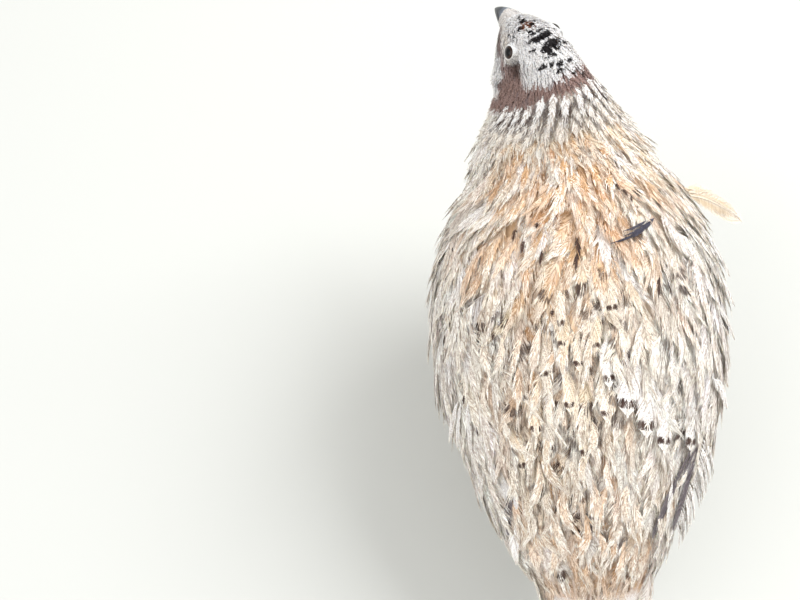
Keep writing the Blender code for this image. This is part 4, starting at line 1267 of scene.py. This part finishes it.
def tail_coat(flight):
    """The tail: a low roof of feathers, with coverts over and under them."""
    rng = np.random.default_rng(500)
    rows = []
    for count, spread, (root, tip), half, lift, shorter in TAIL_FANS:
        side = 2 * (np.arange(count) + 0.5) / count - 1
        middle = 90 if spread > 0 else -90
        reach = tip + shorter * np.abs(side) ** 1.5
        angle = np.radians(middle - side * abs(spread))
        rows.append(beside(root, angle, reach - root, half, lift[0],
                           lift[1] + 0.3 * np.abs(side)))
    s, phi, turn_s, half, low, high = np.concatenate(rows).T
    fan = Feathers(body, s, phi, turn_s, 0.0, low, high, half,
                   bend=0.02 * rng.normal(size=len(s)), fray=0.25)
    plain_piece("tail_feathers", fan, flight, np.asarray(BUFF) * 0.8, (34, 4, 12), 502, dark=0.6,
                fringe=0.9, sweep=0.14, web=0.8, shaft=0.25)


def leg_coat(side, name, large):
    """The feathers of a drumstick, shorter towards the ankle, pointing down it."""
    rng = np.random.default_rng(600 + side)
    rows, around = 15, 26
    s = np.repeat(np.linspace(0.10, 0.95, rows), around) + rng.uniform(-0.02, 0.02, rows * around)
    phi = (np.tile(np.arange(around), rows) + 0.5 * np.repeat(np.arange(rows) % 2, around)
           + rng.uniform(-0.2, 0.2, rows * around)) * 2 * math.pi / around
    surface = thigh_surface(side)
    length = np.interp(s, [0, 0.3, 1], [4.0, 8.0, 13.0]) * rng.uniform(0.85, 1.1, len(s))
    turn_s, turn_phi = headed(surface, s, phi, -length, 0.5 * rng.normal(size=len(s)))
    turn_s = np.maximum(turn_s, 0.01 - s)
    half = np.interp(s, [0, 0.3, 1], [0.8, 1.4, 2.2])
    coat = Feathers(surface, s, phi, turn_s, turn_phi, -1.2, 0.3, half, fray=0.4,
                    roll=0.1 * rng.normal(size=len(s)))
    plain_piece("coat_leg_" + name, coat, large, blend(CREAM, WHITE, 0.4), (12, 3, 7),
                610 + side, fringe=0.8, colour_seed=601,
                baked=lambda s, phi: leg_unwrap(s, phi, 0 if side > 0 else 1))


def horn_material(name, dark, pale, tip_from):
    """Satin horn that darkens to the tip, by the attribute share, with fine growth lines."""
    def look(nodes):
        share = nodes.math("MULTIPLY_ADD", nodes.noise(420.0, 4.0), 0.25,
                           nodes.attribute("share", "Fac"))
        colour = nodes.mix(nodes.smooth(share, tip_from, tip_from + 0.45), pale, dark)
        return colour, nodes.noise(1500.0, 3.0)

    return finish_material(name, 0.38, look, 0.00005, 0.3, Coat_Weight=0.25)


def grey(values):
    return np.repeat(np.asarray(values, float)[:, None], 3, axis=1)


def bill():
    """Both halves of the bill, closed against each other, dark at the tip and along the edges."""
    # The pale blue-grey over the top of the bill, where the share is lowest, is partly the horn's
    # own lighter base and partly a painted reflection of the bright surround.
    finish = horn_material("bill horn", (0.018, 0.02, 0.028), (0.20, 0.23, 0.28), 0.35)
    for name, surface, turns in (("upper", upper_bill, 1), ("lower", lower_bill, -1)):
        flat, faces, s, phi = closed_grid(surface, 48, 48, True, (LAST - 0.12, LAST + 0.985))
        if turns < 0:
            faces = [group[:, ::-1] for group in faces]
        edge = np.abs(np.cos(phi)) ** 6
        share = np.clip(s - LAST, 0, 1) + 0.55 * edge + (0.35 if turns < 0 else 0)
        make_piece("bill_" + name + "_horn", flat, faces, finish,
                   ["bill_" + name], colours={"share": grey(share)})


def eyes():
    """Dark wet eyes: a ball with a slightly raised cornea, a black pupil and a brown iris."""
    def look(nodes):
        away = nodes.attribute("away", "Fac")
        iris = nodes.mix(nodes.noise(1600.0), (0.014, 0.009, 0.007), (0.042, 0.022, 0.013))
        eye = nodes.mix(nodes.smooth(away, 0.42, 0.46), (0.002, 0.002, 0.003), iris)
        return nodes.mix(nodes.smooth(away, 0.66, 0.72), eye, (0.02, 0.014, 0.013)), None

    finish = finish_material("eye", 0.08, look, Coat_Weight=0.15, Coat_Roughness=0.03,
                             Specular_IOR_Level=0.15)
    for side, name in SIDES:
        centre, out, along, up = eye_frame(side)

        def ball(s, phi, centre=centre, out=out, along=along, up=up):
            angle = (1 - s) * math.pi
            radius = EYE_RADIUS + 0.14 * np.exp(-(angle / 0.5) ** 2)
            ring = along * np.cos(phi)[..., None] + up * np.sin(phi)[..., None]
            return centre + (radius * np.sin(angle))[..., None] * ring + (
                radius * np.cos(angle))[..., None] * out

        flat, faces, s, phi = closed_grid(ball, 49, 48, ends=(0.02, 0.999))
        make_piece("eyeball_" + name, flat, faces, finish, ["eye_" + name],
                   colours={"away": grey((1 - s) * math.pi)})


def foot(side, name, finish, horn):
    """A scaled shank, the ball and four toes, flat where they stand, and the claws apart.

    Radii swell at the joints as a cosine, and narrow plates cross the front of the shank and
    the tops of the toes as a saw-toothed ridge.
    """
    ball_at = leg_point(BALL, side)
    start = leg_point(ANKLE, side) - ANKLE_DOWN * 1.5
    path = bezier(start, start + ANKLE_DOWN * (ANKLE_BEND + 1.5), ball_at, 60)
    path[-6:, 2] -= np.linspace(0, 0.9, 6)
    radii = TARSUS_RADIUS * np.interp(np.linspace(0, 1, 60), [0, 0.12, 0.26, 0.42, 0.78, 0.94, 1],
                                      [1.5, 1.42, 1.2, 0.98, 1.0, 1.25, 1.2])
    parts = [scaled_tube(tube_surface(path, radii, [1.0, 0, 0]), 160, 28, 20, 0.05)]
    claws = []
    for turn, length, radius in TOES:
        angle = math.radians(turn) * side
        ahead = np.array([math.sin(angle), -math.cos(angle), 0.0])
        low = radius - SOLE_SINK
        claw = CLAW * (0.75 if abs(turn) > 90 else 1.0)
        shares = np.linspace(0, 1, 60)
        joints = 1 + 0.09 * np.cos(shares * 6 * math.pi)
        line = ball_at * [1, 1, 0] + ahead * (length * shares)[:, None]
        line[:, 2] = low + (BALL[2] - low - 0.3) * (1 - ramp(shares, 0.0, 0.16))
        wide = radius * (1 - 0.24 * shares ** 1.3) * joints
        wide *= np.sqrt(np.clip((1.04 - shares) / 0.10, 0.15, 1))
        surface = tube_surface(line, wide, np.cross([0, 0, 1.0], ahead))
        parts.append(scaled_tube(surface, 90, 20, length / 1.15, 0.07))
        u = np.linspace(0, 1, 24)
        line = ball_at * [1, 1, 0] + ahead * (length - 0.9 + (claw + 0.9) * u)[:, None]
        line[:, 2] = low * (1.1 + 0.6 * np.sin(math.pi * u)) * (1 - 0.62 * u ** 1.5) + 0.05
        tip = tube_surface(line, radius * 0.6 * (1 - u) ** 0.8 + 0.08,
                           np.cross([0, 0, 1.0], ahead))
        flat, faces, s, phi = closed_grid(tip, 24, 14)
        flat[:, 2] = np.maximum(flat[:, 2], 0.0)
        claws.append((flat, faces, grey(s)))
    points, faces, colour = joined(parts)
    make_piece("foot_skin_" + name, points, faces, finish, ["foot_" + name],
               colours={"ground": colour})
    points, faces, share = joined(claws)
    make_piece("claws_" + name, points, faces, horn, (), colours={"share": share})


def scaled_tube(surface, rows, columns, plates, relief):
    """A closed tube whose upper side is crossed by plates, standing flat on the floor."""
    flat, faces, s, phi = closed_grid(surface, rows, columns)
    middle = surface(s, phi) * 0.5 + surface(s, phi + math.pi) * 0.5
    top = ramp(np.sin(phi), -0.1, 0.5)
    saw = np.mod(s * plates, 1.0)
    ridge = relief * top * (np.minimum(saw * 5, 1) - 0.6 * saw)
    side_scales = 0.5 * relief * (1 - top) * np.cos(6 * phi) * np.cos(s * plates * 9)
    flat = flat + (flat - middle) * (ridge + side_scales)[:, None]
    flat[:, 2] = np.maximum(flat[:, 2], 0.0)
    groove = np.where(top > 0.5, ramp(saw, 0.02, 0.18), 0.8)
    colour = blend((0.42, 0.24, 0.17), (0.72, 0.50, 0.37), groove)
    return flat, faces, colour


def back_from(s, phi, length, lean=0.0):
    """The places that lie a length forward of a place, where feathers with tips there root."""
    turn_s, turn_phi = headed(body, s, phi, length * np.cos(lean), length * np.sin(lean))
    return s + turn_s, phi + turn_phi


COMB_TIPS = 26
WHITE_SPOTTED = 5                 # so many of the spotted feathers, the first ones, are white


def single_feathers(large, flight, oval_marked):
    """The feathers that the photo shows one by one, over the rest of the plumage."""
    stiff = {"sweep": 0.12, "web": 0.8, "shaft": 0.2}
    plain_piece("grey_quills", Feathers.placed(GREY_QUILLS, fray=0.12), flight, GREY, (46, 4, 14),
                702, fringe=0.1, stripe=0.0, **stiff)
    plain_piece("white_quills", Feathers.placed(WHITE_QUILLS, fray=0.35), large, WHITE,
                (40, 4, 12), 704, sweep=0.2, web=0.7, shaft=0.15)
    stray = Feathers.placed(STRAY_COVERTS, fray=0.2, bend=-0.06, roll=-1.0)
    plain_piece("stray_covert", stray, flight, (0.80, 0.66, 0.46), (34, 4, 12), 706, sweep=0.14,
                web=0.92, shaft=0.25)
    # Dark bluish down along a parting: partly its own colour, partly painted shadow of the parting.
    down = Feathers.placed(DARK_DOWN_AND_SHADOW, fray=1.0, bend=-0.05)
    plain_piece("dark_down", down, large, (0.06, 0.06, 0.085), (30, 3, 8), 718, fringe=0.0,
                stripe=0.0, sweep=0.3, web=0.4, shaft=0, draw=0.6)
    # Narrow twisted tufts that lie over the spotted feathers of the lower back.
    rng = np.random.default_rng(720)
    s, phi = roots((2.2, 4.5), (40, 140), lambda s: 6.4, 721,
                   lambda s, phi: (phi < math.radians(100)) | (s < 2.8) | (s > 4.1))
    count = len(s)
    length = rng.uniform(11, 16, count)
    lean = rng.uniform(-0.35, 0.35, count)
    turn_s, turn_phi = headed(body, s, phi, -length * np.cos(lean), length * np.sin(lean))
    lift = wing_height(s + turn_s, phi + turn_phi)
    tufts = Feathers(body, s, phi, turn_s, turn_phi, lift - 0.6,
                     lift + rng.uniform(1.4, 3.2, count), rng.uniform(1.3, 2.0, count),
                     bend=rng.uniform(-0.22, 0.22, count), roll=0.25 * rng.normal(size=count),
                     fray=0.6, arch=0.5)
    ground = blend(ground_colour(*tip_place(tufts)), IVORY, rng.uniform(0, 0.7, count))
    plain_piece("coat_tufts", tufts, large, ground, (30, 3, 8), 723, fringe=1.0, sweep=0.6,
                web=0.5, shaft=0.06, draw=0.75)
    # The loose outer edge of the right wing's primaries: a comb of narrow white tips.
    along = np.linspace(0, 1, COMB_TIPS)
    s, phi = 3.34 - 0.98 * along, np.radians(152 + 3 * along)
    comb = Feathers(body, s, phi, -0.30 + 0.04 * rng.normal(size=COMB_TIPS),
                    np.radians(13 + 3 * rng.normal(size=COMB_TIPS)), wing_height(s, phi) + 0.8,
                    wing_height(s, phi) + 4.6 - 1.5 * along, 0.55, fray=0.4, bend=-0.08)
    plain_piece("white_comb", comb, large, WHITE, (14, 3, 8), 712, sweep=0.3, web=0.6)
    s, angle, half = np.array(SPOTTED).T
    length = 6.0 + 3.2 * half
    tip_s, tip_phi = back_from(s, np.radians(angle), -0.16 * length)
    root_s, root_phi = back_from(tip_s, tip_phi, length, 0.06 * rng.normal(size=len(s)))
    lift = wing_height(s, np.radians(angle))
    roll = np.where(half < 3, 0.5 * np.sign(rng.normal(size=len(half))), 0.0)
    spotted = Feathers(body, root_s, root_phi, tip_s - root_s, tip_phi - root_phi, lift - 0.6,
                       lift + 2.1, half, fray=0.3, roll=roll)
    colour = blend(CREAM, WHITE, rng.uniform(0.0, 0.5, len(s)))
    colour[:WHITE_SPOTTED] = WHITE
    plain_piece("coat_spotted", spotted, oval_marked, colour, (44, 3, 10), 714, dark=1.0,
                blotch_at=0.84, sweep=0.4, web=0.8, shaft=0.08, draw=0.5)
    tip_s, angle, length, half = np.array(STREAKS).T
    tip_phi = np.radians(angle)
    lean = 0.15 * rng.normal(size=len(half)) - 0.3 * np.cos(tip_phi)
    root_s, root_phi = back_from(tip_s, tip_phi, length, lean)
    streaks = Feathers(body, root_s, root_phi, tip_s - root_s, tip_phi - root_phi,
                       wing_height(root_s, root_phi) - 0.6, wing_height(tip_s, tip_phi) + 1.2,
                       half, fray=0.9)
    plain_piece("coat_streaks", streaks, large, UMBER, (20, 3, 6), 716, fringe=0.0, stripe=0.0,
                sweep=0.3, web=0.5, shaft=0, draw=0.7)


def plumage():
    """All feathers, in pieces by region."""
    group = web_group()
    large = feather_material("contour feather", 13.0, IVORY, group)
    spotted = feather_material("spotted feather", 13.0, IVORY, group, (13.0, 0.58))
    barred = feather_material("nape feather", 9.0, WHITE, group, (2.8, 0.82))
    flight = feather_material("flight feather", 80.0, WHITE, group)
    small = feather_material("head feather", 6.0, SNOW, group)
    body_coat(large)
    nape_coat(barred)
    head_coat(small)
    for side, name in SIDES:
        wing_coat(side, name, large, flight)
        leg_coat(side, name, large)
    tail_coat(flight)
    single_feathers(large, flight, spotted)


def floor_and_light():
    """A plain pale floor, a large soft key light, a fill, and an even pale surround."""
    bpy.ops.mesh.primitive_plane_add(size=6.0, location=(0, 0, 0))
    floor = bpy.context.active_object
    floor.name = "floor"
    floor.data.materials.append(finish_material("pale floor", 0.9, Base_Color=(0.56, 0.57, 0.55)))
    world = bpy.data.worlds.new("studio")
    world.use_nodes = True
    surround = world.node_tree.nodes["Background"].inputs
    surround["Color"].default_value = (1.0, 0.99, 0.97, 1.0)
    surround["Strength"].default_value = 0.88
    bpy.context.scene.world = world
    for name, place, size, power in (("key", (-0.50, -0.30, 0.85), 0.6, 10.5),
                                     ("fill", (0.7, 0.4, 0.7), 0.9, 5.0)):
        lamp = bpy.data.lights.new(name, "AREA")
        lamp.size = size
        lamp.energy = power
        light = bpy.data.objects.new(name, lamp)
        light.location = place
        light.rotation_euler = (Vector((0, 0, 0.08)) - Vector(place)).to_track_quat(
            "-Z", "Y").to_euler()
        bpy.context.scene.collection.objects.link(light)
    bpy.context.scene.view_settings.view_transform = "Standard"


CAMERA_AZIMUTH = 178.0
CAMERA_ELEVATION = 63.0
CAMERA_DISTANCE = 520.0
CAMERA_LOOKS_AT = (59.5, 6.0, 78.0)
PIXELS_A_MM = 3.0                 # in the photograph, at the distance of what is looked at
PHOTO_WIDTH = 800


def make_camera():
    """The photograph's view: from behind and above, framing her right of the middle."""
    az, el = math.radians(CAMERA_AZIMUTH), math.radians(CAMERA_ELEVATION)
    back = Vector((math.sin(az) * math.cos(el), -math.cos(az) * math.cos(el), math.sin(el)))
    target = Vector((Vector(CAMERA_LOOKS_AT) + Vector((SHIFT[0], SHIFT[1], 0))) * MM)
    lens = bpy.data.cameras.new("camera")
    lens.sensor_width = 36.0
    lens.lens = PIXELS_A_MM * CAMERA_DISTANCE * lens.sensor_width / PHOTO_WIDTH
    camera = bpy.data.objects.new("camera", lens)
    camera.location = target + back * CAMERA_DISTANCE * MM
    camera.rotation_euler = (-back).to_track_quat("-Z", "Y").to_euler()
    bpy.context.scene.collection.objects.link(camera)
    bpy.context.scene.camera = camera


plumage()
mottle = mottle_group()
skin_piece(finish_material("down over skin", 0.85, mottled_look(
    mottle, 700.0, 3.0, 0.3, 0.8, lambda nodes: nodes.noise(900.0)), 0.0004, 0.6))
bill()
eyes()
leg_skin = finish_material("scaled leg skin", 0.5, mottled_look(
    mottle, 350.0, 4.0, 0.5, 0.72, lambda nodes: nodes.noise(1400.0, 0.0, "Voronoi")),
    0.0001, 0.35)
claw_horn = horn_material("claw horn", (0.05, 0.035, 0.03), (0.38, 0.28, 0.22), 0.3)
for side, name in SIDES:
    foot(side, name, leg_skin, claw_horn)
floor_and_light()
make_camera()
